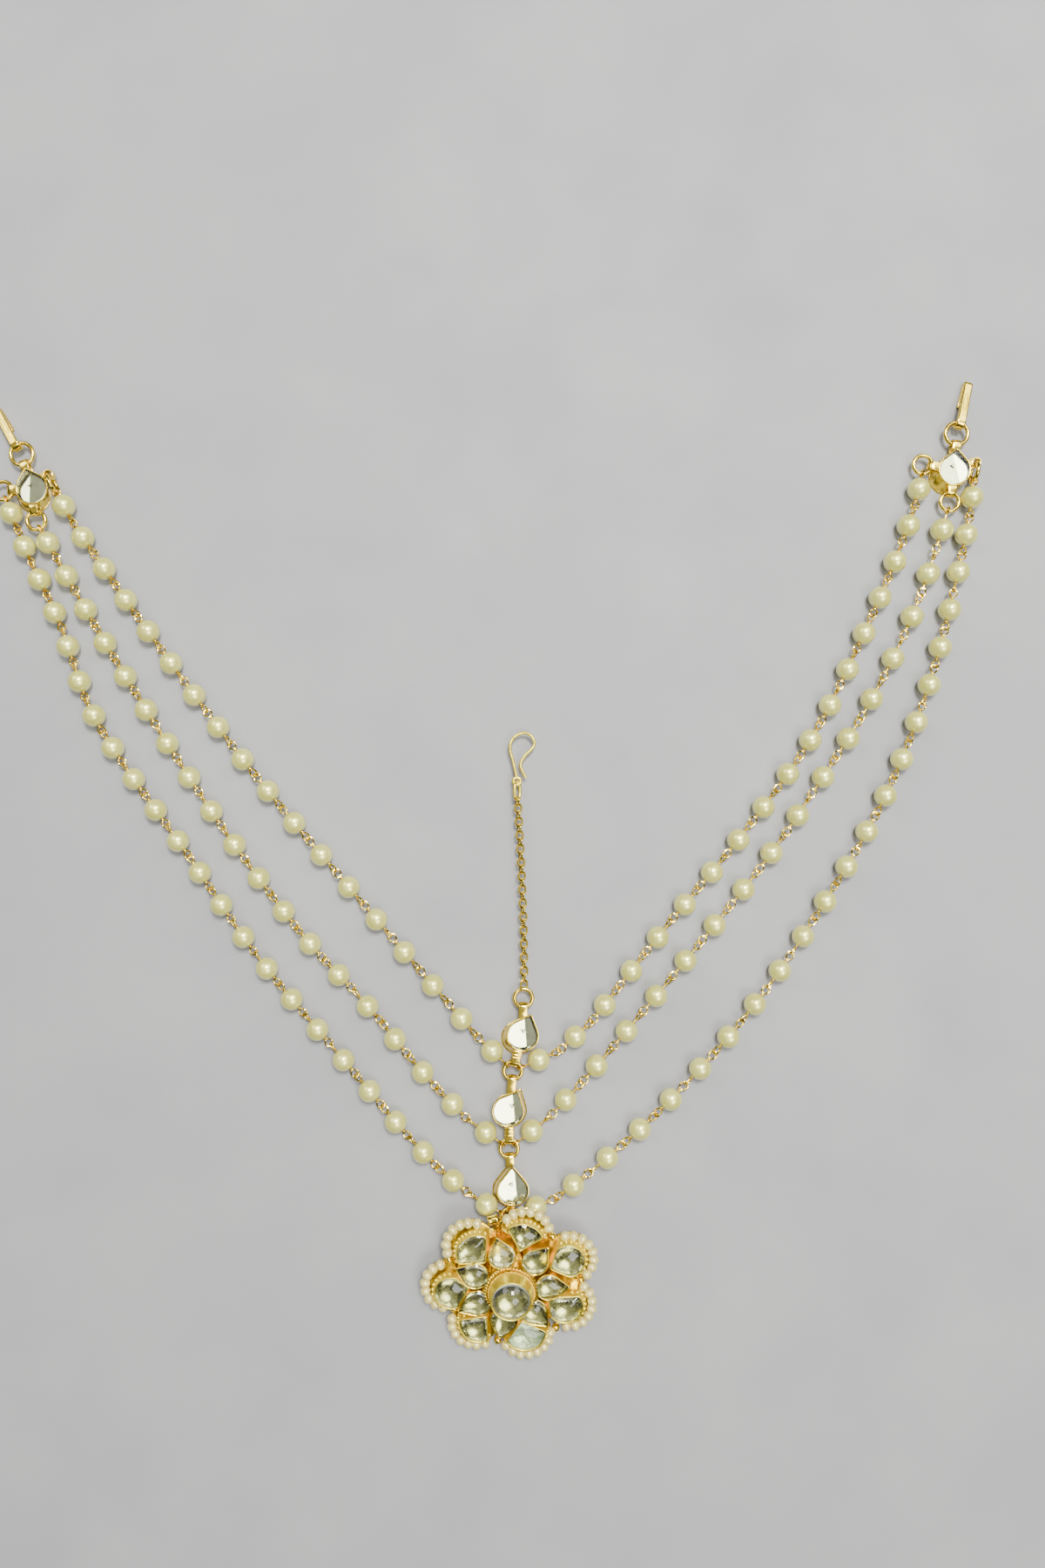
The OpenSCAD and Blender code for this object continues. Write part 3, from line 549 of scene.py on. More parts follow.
link_shape = shape(chain_link)
tube_points = np.array([v.co for v in nodes["crown_chain"].data.vertices]) / MM
chain_line = np.polyfit(tube_points[:, 1], tube_points[:, 0], 3)
chain_z = (tube_points[:, 2].min() + tube_points[:, 2].max()) / 2
chain_low = tube_points[:, 1].min() + CHAIN_END_GAP
chain_high = oval_top - OVAL_LONG + OVAL_WIRE_D + LINK_WIRE_D - LINK_LONG / 2
link_count = round((chain_high - chain_low) / LINK_PITCH) + 1
links = bmesh.new()
for k in range(link_count):
    y = chain_low + (chain_high - chain_low) * k / (link_count - 1)
    lean = math.degrees(math.atan2(1, np.polyval(np.polyder(chain_line), y)))
    stamp(links, link_shape, at(np.polyval(chain_line, y), y, chain_z, lean),
          roll(math.radians(k % 2 * 90 + LINK_ROLL)))
piece("crown_chain_links", links, gold, stands_for=["crown_chain"])
print("links", link_count)

# %% [markdown]
# ## A small kit for outlines
# Every stone sits in a box that follows its outline. An outline is a function: it gives the reach
# in a direction, drawn in by an inset. So one outline serves the box, the foil and the stone, and
# a little softness and waver make it look cut by hand.

# %% Helper: outlines
LEAST_FACING = 0.05
SOFTENING_STEPS = (-1, -0.5, 0, 0.5, 1)


def round_outline(radius):
    return lambda angle, inset=0.0: radius - inset


def drop_outline(radius, tip):
    """A circle with a point at direction 0, as the settings and leaves have."""
    touch = math.acos(radius / tip)

    def reach(angle, inset=0.0):
        off = abs(math.remainder(angle, math.tau))
        return (radius - inset) / (math.cos(touch - off) if off < touch else 1)

    return reach


def arc_outline(size, setback, arc_radius, arc_from, arc_to, inner, inner_side):
    """An arc with straight sides to an inner corner, as the petals have. Shares of size, degrees."""
    middle = Vector((-setback * size, 0))
    radius = arc_radius * size
    corner = Vector((-inner, inner_side)) * size
    ends = [middle + radius * Vector((math.cos(math.radians(a)), math.sin(math.radians(a))))
            for a in (arc_from, arc_to)]
    first, last = (math.atan2(end.y, end.x) for end in ends)
    sides = []
    for end in ends:
        along = (end - corner).normalized()
        normal = Vector((along.y, -along.x))
        normal *= math.copysign(1, normal.dot(corner))
        sides.append((normal, normal.dot(corner)))

    def reach(angle, inset=0.0):
        angle = math.remainder(angle, math.tau)
        way = Vector((math.cos(angle), math.sin(angle)))
        limits = [(depth - inset) / way.dot(normal) for normal, depth in sides
                  if way.dot(normal) > LEAST_FACING]
        if first <= angle <= last:
            along = way.dot(middle)
            limits.append(along + math.sqrt(along**2 - middle.length_squared + (radius - inset)**2))
        return min(limits)

    return reach


def handmade(outline, seed, amount=0.012, softening=math.radians(3.5)):
    """The same outline with its corners rubbed round and a little waver, as a hand-set bezel has."""
    luck = random.Random(seed)
    waves = [(n, luck.uniform(0, math.tau), luck.uniform(0.3, 1) * amount / 2) for n in (2, 3, 5)]

    def reach(angle, inset=0.0):
        near = [outline(angle + k * softening, inset) for k in SOFTENING_STEPS]
        return sum(near) / len(near) * (1 + sum(a * math.sin(n * angle + p) for n, p, a in waves))

    return reach


print("a drop of radius 4 and tip 6 reaches", round(drop_outline(4, 6)(0.5), 2), "at half a radian")

# %% [markdown]
# ## A small kit for walls
# A sheet box could be cut out with a boolean, but a turned profile gives a cleaner rim. A circle is
# extruded once for each row of the profile, and each new ring's corners are set on the outline at
# the row's inset and height. Boxes, foils and stones all start from this.

# %% Helper: walls that follow an outline
LEAST_SHARE = 1e-3


def edges_round(ring):
    """The edges that join the corners of a ring."""
    within = set(ring)
    return [e for e in edges_at(ring) if within.issuperset(e.verts)]


def next_ring(bm, ring):
    """Extrudes a ring and gives the corners of the new one."""
    grown = bmesh.ops.extrude_edge_only(bm, edges=edges_round(ring))["geom"]
    return [part for part in grown if isinstance(part, bmesh.types.BMVert)]


def wall(bm, outline, rows, segments=72):
    """Rings of an outline, joined to a closed solid. Rows: inset, share of the outline, height."""
    ring = bmesh.ops.create_circle(bm, cap_ends=True, segments=segments, radius=1)["verts"]
    for step, (inset, share, height) in enumerate(rows):
        if step:
            ring = next_ring(bm, ring)
        for v in ring:
            angle = math.atan2(v.co.y, v.co.x)
            reach = outline(angle, inset) * max(share, LEAST_SHARE)
            v.co = (reach * math.cos(angle), reach * math.sin(angle), height)
    if rows[-1][1] == 0:
        bmesh.ops.pointmerge(bm, verts=ring, merge_co=(0, 0, rows[-1][2]))
    else:
        bmesh.ops.edgeloop_fill(bm, edges=edges_round(ring))


print("wall kit ready")

# %% [markdown]
# ## The flower's ground plan
# Seven petals stand round seven leaves, and both are boxes of thin sheet soldered on a back plate.
# Each petal has its own outline here, as each is cut by hand. The table is the solid model's own,
# in shares of its two sizes, and the whole flower is tilted as it lies on the last pearls.

# %% Places of petals and leaves
FLOWER_TILT = math.radians(8)
FLOWER_MIDDLE = (0.3, 1.0)
PETAL_RING_R, PETAL_R, PETAL_H = 14.4, 4.3, 4.3
LEAF_RING_R, LEAF_R, LEAF_H, LEAF_TIP = 8.9, 3.5, 4.5, 1.55
PLATE_R, PLATE_T = 6.2, 0.6
# Direction, share of the ring, outline as arc_outline takes it, share of the notch beside it.
PETALS = (
    (75, 0.92, (0.4, 1.27, -57, 57, 0.86, 0), 0.95),
    (24, 1.09, (0, 1, -110, 110, 1.16, 0), 1.05),
    (-22, 1.055, (0.07, 1.06, -125, 62, 1.23, 0.16), 1.02),
    (-75, 0.955, (0.44, 1.25, -75, 75, 1.16, 0), 1),
    (-129.5, 0.97, (0.23, 1.17, -65, 65, 0.95, 0), 0.99),
    (-177, 1.08, (0, 1, -112, 112, 1.07, -0.28), 1.01),
    (136, 0.98, (0.42, 1.2, -75, 75, 1.19, 0), 1.04),
)
PETAL_SHIFTS = ((-0.35, 0.25), (-0.45, 0.55), (-0.55, 0.55), (0.2, -0.2), (0.3, 0.2), (0.6, -0.7),
                (0.3, 0.2))
LEAF_SHIFTS = ((0, 0), (0, 0), (-0.4, 0.25), (0, 0), (-0.4, 0), (-0.5, 0), (0, 0))
petal_ways = [row[0] for row in PETALS]
petal_places = [PETAL_RING_R * row[1] for row in PETALS]
PETAL_SEED, LEAF_SEED, LEAF_SOFTENING = 20, 40, math.radians(1.5)
leaf_ways, leaf_places = [], []
for i, row in enumerate(PETALS):
    after = PETALS[(i + 1) % len(PETALS)]
    leaf_ways.append((row[0] + after[0] - (360 if after[0] > row[0] else 0)) / 2)
    leaf_places.append(LEAF_RING_R * (row[1] + after[1] + 2) / 4)
lowest_petal = min(r * math.sin(math.radians(a)) for r, a in zip(petal_places, petal_ways))
FLOWER_LIFT = math.sin(FLOWER_TILT) * (PLATE_R - FLOWER_MIDDLE[1] - lowest_petal)
FLOWER = at(0, 0, FLOWER_LIFT) @ roll(FLOWER_TILT) @ at(*FLOWER_MIDDLE)
petal_outlines = [handmade(arc_outline(PETAL_R, *row[2]), PETAL_SEED + i) for i, row in enumerate(PETALS)]
leaf_outlines = [handmade(drop_outline(LEAF_R, LEAF_R * LEAF_TIP), LEAF_SEED + i,
                          softening=LEAF_SOFTENING) for i in range(len(PETALS))]


def out_from_middle(way, distance):
    return at(0, 0, 0, way) @ at(distance, 0)


def petal_seat(i):
    return FLOWER @ at(*PETAL_SHIFTS[i]) @ out_from_middle(petal_ways[i], petal_places[i])


def leaf_seat(i):
    return FLOWER @ at(*LEAF_SHIFTS[i]) @ out_from_middle(leaf_ways[i], leaf_places[i])


print("lift in mm", round(FLOWER_LIFT, 3), "leaves at", [round(a) for a in leaf_ways])

# %% [markdown]
# ## The flower's goldwork
# The plate is sheet, and the boxes are sheet bent round each stone and soldered on edge. The rim of
# a box is burnished over the stone, so it is thin, round and a little uneven. The petals' walls
# flare at the foot, so that a strip of them shows from above.

# %% Plate and boxes
BOX_WALL, STONE_GAP, STONE_DEPTH, FOIL_BED = 0.3, 0.08, 1.3, 0.95
PLATE_ROWS = [(0.25, 1, 0), (0, 1, 0.15), (0, 1, PLATE_T - 0.15), (0.2, 1, PLATE_T)]


def plate_outline(angle, inset=0.0):
    """The outer edge of the petals' round backs, laid over one wide disc."""
    reach = PETAL_RING_R
    for way, place in zip(petal_ways, petal_places):
        off = math.remainder(angle - math.radians(way), math.tau)
        room = PLATE_R**2 - (place * math.sin(off)) ** 2
        if room > 0 and math.cos(off) > 0:
            reach = max(reach, place * math.cos(off) + math.sqrt(room))
    return reach - inset


def box_rows(height, foot, flare=False):
    """A bent sheet wall: a solder fillet, an outer side, a burnished rim and the way down inside."""
    rows = [(-0.5, foot - 0.2), (-0.46, foot + 0.1), (-0.36, foot + 0.6), (-0.02, height - 0.8)]
    if flare:
        rows = [(-0.62, foot - 0.2), (-0.62, foot + 1.6), (-0.52, height - 1.4), (-0.16, height - 0.65)]
    rows += [(0, height - 0.3), (0.02, height - 0.12), (0.08, height - 0.02), (0.17, height + 0.02),
             (0.27, height - 0.02), (0.35, height - 0.1), (0.38, height - 0.2),
             (BOX_WALL, height - 0.3), (BOX_WALL + 0.02, height - STONE_DEPTH - FOIL_BED)]
    return [(inset, 1, z) for inset, z in rows]


plate = bmesh.new()
wall(plate, plate_outline, PLATE_ROWS, segments=288)
# The plate takes the darker gold, which is painted shade for the valleys between the boxes.
piece("flower_plate", plate, valley_gold_painted_shade, FLOWER, stands_for=["flower_setting"])

for i in range(len(PETALS)):
    box = bmesh.new()
    wall(box, petal_outlines[i], box_rows(PETAL_H, PLATE_T, flare=True), segments=96)
    piece(f"petal_box_{i + 1}", box, satin_gold, petal_seat(i))
    box = bmesh.new()
    wall(box, leaf_outlines[i], box_rows(LEAF_H, PLATE_T), segments=96)
    piece(f"leaf_box_{i + 1}", box, gold, leaf_seat(i))
print("boxes", 2 * len(PETALS))

# %% [markdown]
# ## The collar and its rope
# The middle stone stands high in a cone of sheet, and the profile below is that cone seen from the
# side. A rope of two twisted wires lies on its shoulder. Each wire is one circle, extruded along a
# line that winds about the rope's own round line, and joined where it meets itself.

# %% Collar and rope
COLLAR_R = 4.9
# Radius and height.
COLLAR_PROFILE = (
    (5.6, 0.4), (5.25, 0.8), (5.15, 1.4), (5.15, 4.6), (5.3, 5.1), (5.75, 5.3), (5.8, 5.7), (5.55, 6.1),
    (5.55, 6.4), (5.48, 6.55), (5.42, 6.7), (5.06, 9.3), (5.02, 9.75), (4.98, 9.94), (4.9, 10.0),
    (4.78, 9.97), (4.7, 9.85), (4.68, 9.5), (4.66, 7.2))
ROPE_R, ROPE_Z, ROPE_STRAND_D, ROPE_TWISTS = 6.05, 5.85, 0.68, 26


def twisted_strand(bm, phase, steps=260, sides=6):
    """One strand of a rope ring: it winds about the ring's own round line."""
    swing = ROPE_STRAND_D / 2
    ring = bmesh.ops.create_circle(bm, segments=sides, radius=swing, matrix=roll())["verts"]
    first = ring
    before = AS_IS
    for k in range(steps):
        if k:
            ring = next_ring(bm, ring)
        turn = math.tau * k / steps
        twist = turn * ROPE_TWISTS + phase
        place = Vector((ROPE_R + swing * math.cos(twist), 0, ROPE_Z + swing * math.sin(twist)))
        lay = Matrix.Rotation(turn, 4, "Z") @ Matrix.Translation(place)
        back = before.inverted()
        for v in ring:
            v.co = lay @ (back @ v.co)
        before = lay
    bmesh.ops.bridge_loops(bm, edges=edges_round(first) + edges_round(ring))


collar = bmesh.new()
wall(collar, round_outline(COLLAR_R), [(COLLAR_R - radius, 1, z) for radius, z in COLLAR_PROFILE],
     segments=96)
piece("collar", collar, satin_gold, FLOWER)

rope = bmesh.new()
for strand in range(2):
    twisted_strand(rope, strand * math.pi)
piece("rope_ring", rope, gold, FLOWER)
print("rope twists", ROPE_TWISTS)

# %% [markdown]
# ## Grains and beads
# Grains are tiny balls of gold, soldered in a row above the rope and round the outer side of each
# petal. A larger bead in a cup of wire fills each notch between two petals, but for the one that
# holds the bail. All are stamps of a ball with few faces, because there are many of them.

# %% Grains on the collar and the petals, beads in the notches
GRAIN_R, GRAIN_Z, GRAIN_D, GRAINS = 5.62, 6.5, 0.46, 72
PETAL_GRAIN_D, PETAL_GRAIN_Z, PETAL_GRAIN_OUT, PETAL_GRAINS, PETAL_GRAIN_HALF = 1.0, 3.05, 0.38, 12, 88
NOTCH_R, NOTCH_BEAD_D, BEAD_SINK = 16.4, 1.9, 0.2
CUP_R, CUP_WIRE_D, CUP_Z = 0.75, 0.4, 0.15


def ball(bm, diameter, steps):
    bmesh.ops.create_uvsphere(bm, u_segments=steps, v_segments=steps * 2 // 3, radius=diameter / 2)


grain_shape = shape(ball, GRAIN_D, 8)
grains = bmesh.new()
for k in range(GRAINS):
    stamp(grains, grain_shape, out_from_middle(360 * k / GRAINS, GRAIN_R), at(0, 0, GRAIN_Z))
piece("collar_grains", grains, gold, FLOWER)

petal_grain_shape = shape(ball, PETAL_GRAIN_D, 10)
grains = bmesh.new()
for i in range(len(PETALS)):
    for k in range(PETAL_GRAINS):
        turn = PETAL_GRAIN_HALF * (2 * k / (PETAL_GRAINS - 1) - 1)
        reach = petal_outlines[i](math.radians(turn)) + PETAL_GRAIN_OUT
        stamp(grains, petal_grain_shape, at(*PETAL_SHIFTS[i]),
              out_from_middle(petal_ways[i], petal_places[i]), out_from_middle(turn, reach),
              at(0, 0, PETAL_GRAIN_Z))
piece("petal_grains", grains, satin_gold, FLOWER)

bead_shape = shape(ball, NOTCH_BEAD_D, 18)
cup_shape = shape(bent_ring, CUP_R, CUP_WIRE_D, **LOOP_MESH)
beads = bmesh.new()
for i, row in enumerate(PETALS[:-1]):
    seat = out_from_middle(leaf_ways[i], NOTCH_R * row[3])
    stamp(beads, bead_shape, seat, at(0, 0, PLATE_T - BEAD_SINK + NOTCH_BEAD_D / 2))
    stamp(beads, cup_shape, seat, at(0, 0, PLATE_T + CUP_Z))
piece("notch_beads", beads, gold, FLOWER)
print("grains", GRAINS + PETAL_GRAINS * len(PETALS), "beads", len(PETALS) - 1)

# %% [markdown]
# ## Bail, binding and eye
# A short grooved roller lies in the top notch as the bail, and a wire wound behind it holds it. The
# flower itself hangs on the lowest ring of the column, by an eye on a post under its plate. The
# roller is a wall round a circle, with the same profile at both ends.

# %% Bail, binding and eye
BAIL_D, BAIL_W = 2.4, 2.6
# Inset and distance from the roller's end.
BAIL_PROFILE = ((0.3, 0), (0.06, 0.1), (0, 0.3), (0.14, 0.7))
BINDING_FROM, BINDING_TO, BINDING_R, BINDING_WIRE_D, BINDING_Z = 15.9, 12.6, 0.85, 0.4, 1.5
BINDING_PITCH, BINDING_SHIFT = 1.25 * BINDING_WIRE_D, (0.4, 0.2)
# Height of every ring's middle over the table.
LINK_Z = 2.5
FLOWER_EYE, EYE_TO_JUNCTION = (-2.3, 15.4), 15.5
POST_D, POST_SINK, POST_SHIFT = 0.9, 0.4, (-1.2, -0.33)

bail = bmesh.new()
wall(bail, round_outline(BAIL_D / 2),
     [(inset, 1, off - BAIL_W / 2) for inset, off in BAIL_PROFILE]
     + [(inset, 1, BAIL_W / 2 - off) for inset, off in reversed(BAIL_PROFILE)], segments=40)
piece("bail", bail, gold,
      FLOWER @ out_from_middle(leaf_ways[-1], NOTCH_R * PETALS[-1][3])
      @ at(0, 0, PLATE_T - BEAD_SINK + BAIL_D / 2) @ roll())

binding = bmesh.new()
coil(binding, BINDING_R, BINDING_WIRE_D, BINDING_PITCH, (BINDING_FROM - BINDING_TO) / BINDING_PITCH,
     steps=14, sides=7)
piece("bail_binding", binding, wire_gold,
      FLOWER @ at(*BINDING_SHIFT) @ out_from_middle(leaf_ways[-1], BINDING_TO) @ at(0, 0, BINDING_Z))

eye = bmesh.new()
stamp(eye, round_loop_shape, at(*FLOWER_EYE, LINK_Z, EYE_TO_JUNCTION), roll())
post_top = FLOWER_LIFT + FLOWER_EYE[1] * math.tan(FLOWER_TILT) + PLATE_T / 2
bmesh.ops.create_cone(eye, cap_ends=True, segments=16, radius1=POST_D / 2, radius2=POST_D / 2,
                      depth=post_top - LINK_Z + POST_SINK,
                      matrix=at(*FLOWER_EYE, (post_top + LINK_Z - POST_SINK) / 2) @ at(*POST_SHIFT))
piece("flower_eye", eye, gold)
print("post reaches", round(post_top, 2), "mm")

# %% [markdown]
# ## Stones on foil
# A domed piece of clear glass lies on crumpled silver foil. The glass only bends light. What the eye
# sees is the foil's mirror of the room, so the foil is real sheet with real crumples. The domes are
# the solid model's own caps, on the hand-cut outlines.

# %% Foils and domes of petals and leaves
STONE_SINK, PETAL_DOME, DOME_STEPS, EDGE_BREAK = 0.2, 1.1, 9, 0.06
FOIL_T, FOIL_BACK, FOIL_UNDER, FOIL_RIM_SINK = 0.03, 0.15, 0.1, 0.05
FOIL_SHARES = (0.92, 0.8, 0.68, 0.55, 0.42, 0.28, 0.14)
CRUMPLE_PER_MM, CRUMPLE_SEED_STEP = 0.75, 7.3
FLOOR_BELOW, FLOOR_ABOVE = 0.1, 0.01


def cap_height(share, half_width, rise):
    """Height of a ball's cap over its edge, at a share of its half-width."""
    ball_r = (half_width**2 + rise**2) / (2 * rise)
    return math.sqrt(ball_r**2 - (share * half_width) ** 2) - (ball_r - rise)


def dome(bm, outline, edge_z, half_width, rise, depth=STONE_DEPTH):
    """A stone with a straight edge, its foot just broken, and a domed top."""
    inset = BOX_WALL + STONE_GAP
    rows = [(inset + EDGE_BREAK, 1, edge_z - depth), (inset, 1, edge_z - depth + EDGE_BREAK),
            (inset, 1, edge_z)]
    for k in range(1, DOME_STEPS):
        share = math.cos(math.pi / 2 * k / DOME_STEPS)
        rows.append((inset, share, edge_z + cap_height(share, half_width, rise)))
    wall(bm, outline, rows + [(inset, 0, edge_z + rise)])


def crumpled_foil(bm, outline, z, rim_z, seed, inset=BOX_WALL + FOIL_T, depth=0.07, dish=0.3):
    """A cup of foil that lines a box: a crumpled, slightly hollow floor and a rim up the wall."""
    inner = inset + FOIL_T
    rows = [(inset, 1, z - dish - FOIL_BACK), (inset, 1, rim_z), (inner, 1, rim_z), (inner, 1, z)]
    rows += [(inner, share, z - dish * (1 - share**2)) for share in FOIL_SHARES]
    wall(bm, outline, rows + [(inner, 0, z - dish)], segments=60)
    for v in bm.verts:
        if z - dish - FLOOR_BELOW < v.co.z < z + FLOOR_ABOVE:
            spot = Vector((v.co.x * CRUMPLE_PER_MM, v.co.y * CRUMPLE_PER_MM, seed * CRUMPLE_SEED_STEP))
            v.co.z += depth * (noise.noise(spot) - 0.5) / 2


OTHER_FOILS = {("leaf", 6): gilt_foil, ("petal", 3): cracked_foil}
for i in range(len(PETALS)):
    for kind, outline, height, seat, half in (
            ("petal", petal_outlines[i], PETAL_H, petal_seat(i), PETAL_R),
            ("leaf", leaf_outlines[i], LEAF_H, leaf_seat(i), LEAF_R * (1 + LEAF_TIP) / 2)):
        edge_z = height - STONE_SINK
        foil = bmesh.new()
        crumpled_foil(foil, outline, edge_z - STONE_DEPTH - FOIL_UNDER, edge_z - FOIL_RIM_SINK,
                      i + len(kind))
        piece(f"{kind}_foil_{i + 1}", foil, OTHER_FOILS.get((kind, i), silver_foil), seat)
        glass = bmesh.new()
        dome(glass, outline, edge_z, half - BOX_WALL - STONE_GAP, PETAL_DOME)
        piece(f"{kind}_dome_{i + 1}", glass, clear_stone, seat,
              stands_for=[f"{kind}_stone_{i + 1}"])
print("stones", 2 * len(PETALS))

# %% [markdown]
# ## The middle stone
# The stone in the collar is larger, deeper and rounder than the others, so it shows the whole room
# small and dark with one bright window. It is made in the same way, with its own numbers.

# %% Foil and dome of the middle stone
CENTRE_R, CENTRE_Z, CENTRE_DEPTH, CENTRE_DOME, CENTRE_SEED, CENTRE_DISH = 4.98, 9.8, 1.6, 2.4, 31, 0.4
foil = bmesh.new()
crumpled_foil(foil, round_outline(CENTRE_R), CENTRE_Z - CENTRE_DEPTH - FOIL_UNDER,
              CENTRE_Z - FOIL_RIM_SINK, CENTRE_SEED, dish=CENTRE_DISH)
piece("centre_foil", foil, silver_foil, FLOWER)
glass = bmesh.new()
dome(glass, round_outline(CENTRE_R), CENTRE_Z, CENTRE_R - BOX_WALL - STONE_GAP, CENTRE_DOME,
     depth=CENTRE_DEPTH)
piece("centre_dome", glass, clear_stone, FLOWER, stands_for=["centre_stone"])
print("middle stone rises to", round(CENTRE_Z + CENTRE_DOME, 1), "mm over the plate's back")

# %% [markdown]
# ## Seed pearls
# Seed pearls are strung on a wire round each petal, touching each other. They are short barrels
# rather than balls, and no two are quite the same size. Seven or eight fit round a petal.

# %% Seed pearls round each petal
SEED_ROW_R, SEED_PITCH, SEED_Z = 6.02, 20.5, 1.95
SEED_LONG, SEED_WIDTH = 2.85, 0.83
SEED_HOLE_FROM, SEED_HOLE_R, SEED_HOLE_SINK = 0.8, 0.1, 0.72
SEED_SIZES, SEED_WIDTHS, SEED_LENGTHS = (0.92, 1.0), (0.96, 1.0), (0.92, 1.02)
SEED_SWAY, SEED_STRAY, SEED_HEIGHTS, SEED_SLANT = (-0.6, 0.6), (-0.05, 0.05), (-0.08, 0.05), (-0.12, 0.12)
SEED_ROWS_SEED = 11
# Pearls in the row, and how far in degrees its middle is turned from the petal's own direction.
SEED_ROWS = ((7, 3), (8, 5), (8, 0), (8, 3), (7, 0), (8, 0), (7, 0))


def seed_barrel(bm):
    made = bmesh.ops.create_uvsphere(bm, u_segments=16, v_segments=9, radius=SEED_LONG / 2,
                                     matrix=roll())["verts"]
    for v in made:
        v.co.y *= SEED_WIDTH
        hole = abs(v.co.y) > SEED_HOLE_FROM * SEED_LONG / 2 * SEED_WIDTH
        if hole and math.hypot(v.co.x, v.co.z) < SEED_HOLE_R:
            v.co.y *= SEED_HOLE_SINK


seed_shape = shape(seed_barrel)
luck = random.Random(SEED_ROWS_SEED)
for i, (count, middle_turn) in enumerate(SEED_ROWS):
    row = bmesh.new()
    for k in range(count):
        size = luck.uniform(*SEED_SIZES)
        turn = middle_turn + SEED_PITCH * (k - (count - 1) / 2) + luck.uniform(*SEED_SWAY)
        stamp(row, seed_shape, out_from_middle(petal_ways[i], petal_places[i]),
              out_from_middle(turn, SEED_ROW_R + luck.uniform(*SEED_STRAY)),
              at(0, 0, SEED_Z + luck.uniform(*SEED_HEIGHTS)),
              Matrix.Rotation(luck.uniform(*SEED_SLANT), 4, "Z"),
              stretch(size * luck.uniform(*SEED_WIDTHS), luck.uniform(*SEED_LENGTHS), size))
    piece(f"seed_row_{i + 1}", row, seed_pearl, FLOWER,
          stands_for=["seed_pearl_rim"] if i == 0 else ())
print("seeds", sum(count for count, _ in SEED_ROWS))

# %% [markdown]
# ## Where the drops lie
# The solid model gives each drop's middle and point, from the corners of its stone, and the rings
# that its bands hold. Reading them from the frame keeps the dressed drops and the solid ones on the
# same spots.

# %% Measure drops and rings
DROP_R, CUT_R, DROP_H, DROP_WALL = 4.05, 3.5, 4.0, 0.28
LOWEST_WITHIN = 0.01


def ring_place(name):
    """Middle and mean radius of a flat ring."""
    low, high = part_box(name)
    middle = (low + high) / 2 / MM
    return Vector(middle[:2]), (high.x - low.x - (high.z - low.z)) / 2 / MM


def cut_stone_place(name):
    """Middle of the round end, heading and point's distance, from the stone's lowest corners."""
    corners = np.array([v.co for v in nodes[name].data.vertices]) / MM
    lowest = corners[corners[:, 2] < corners[:, 2].min() + LOWEST_WITHIN]
    rim = np.unique(lowest[:, :2].round(3), axis=0)
    far = rim[np.argmax(np.linalg.norm(rim - rim.mean(0), axis=1))]
    way = (far - rim.mean(0)) / np.linalg.norm(far - rim.mean(0))
    tip = np.ptp(rim @ way) - CUT_R
    return Vector(far - way * tip), math.degrees(math.atan2(way[1], way[0])), tip * DROP_R / CUT_R


def towards(middle, ring):
    """Heading and loop distance of the band that holds a ring."""
    centre, radius = ring_place(ring)
    away = centre - middle
    return math.degrees(math.atan2(away.y, away.x)), away.length - radius


print("upper drop's heading", round(cut_stone_place("upper_drop_stone")[1], 1), "degrees")

# %% [markdown]
# ## Bands over the rings
# A band is a strip of sheet that leaves the box, goes round a ring and comes back, so it has two
# leaves and a rounded fold. Some bands are wrapped with ribs. The fold is a short tube of flat strip,
# spun from a rectangle, and leaves and ribs are blocks with bevelled edges.

# %% Helper: strips, blocks and bands
BAND_W, BAND_BORE_R, BAND_OUTER_R = 2.1, 0.85, 1.25
BAND_ROUNDING, UPPER_LEAF_OUT, LEAF_OVERLAP = 0.1, 0.35, 0.1
CORE_OUT, CORE_SHORTER, CORE_NARROWER = 0.3, 1, 0.15
RIB_D, RIB_PROUD, RIB_BELOW, RIB_ABOVE, RIB_ROUNDING = 0.62, 0.12, 0.1, 0.2, 0.25
RIBS_FROM, RIBS_SHORT = 0.5, 0.4
STRIP_ROUNDING = 0.12
FLAT_WITHIN = 1e-4


def strip_ring(bm, bore, outer, width):
    """A ring of flat strip about Z, with its edges rubbed round."""
    lay = at((bore + outer) / 2, 0) @ stretch(outer - bore, 1, width)
    made = bmesh.ops.create_circle(bm, segments=4, radius=math.sqrt(0.5),
                                   matrix=lay @ roll() @ at(0, 0, 0, 45))["verts"]
    bmesh.ops.spin(bm, geom=made + edges_at(made), axis=(0, 0, 1), cent=(0, 0, 0), angle=math.tau,
                   steps=28, use_merge=True)
    along = [e for e in bm.edges
             if abs(math.hypot(*e.verts[0].co.xy) - math.hypot(*e.verts[1].co.xy)) < FLAT_WITHIN
             and abs(e.verts[0].co.z - e.verts[1].co.z) < FLAT_WITHIN]
    bmesh.ops.bevel(bm, geom=along, affect="EDGES", offset=min(STRIP_ROUNDING, (outer - bore) / 3),
                    segments=2, profile=0.5, material=-1)


def rounded_block(bm, low, high, rounding):
    """A box between two corners with rounded edges."""
    low, high = Vector(low), Vector(high)
    fill = Matrix.Translation((low + high) / 2) @ stretch(*(high - low))
    made = bmesh.ops.create_cube(bm, size=1, matrix=fill)["verts"]
    bmesh.ops.bevel(bm, geom=edges_at(made), affect="EDGES", offset=rounding, segments=3,
                    profile=0.5, material=-1)


strip_loop = shape(strip_ring, BAND_BORE_R, BAND_OUTER_R, BAND_W)


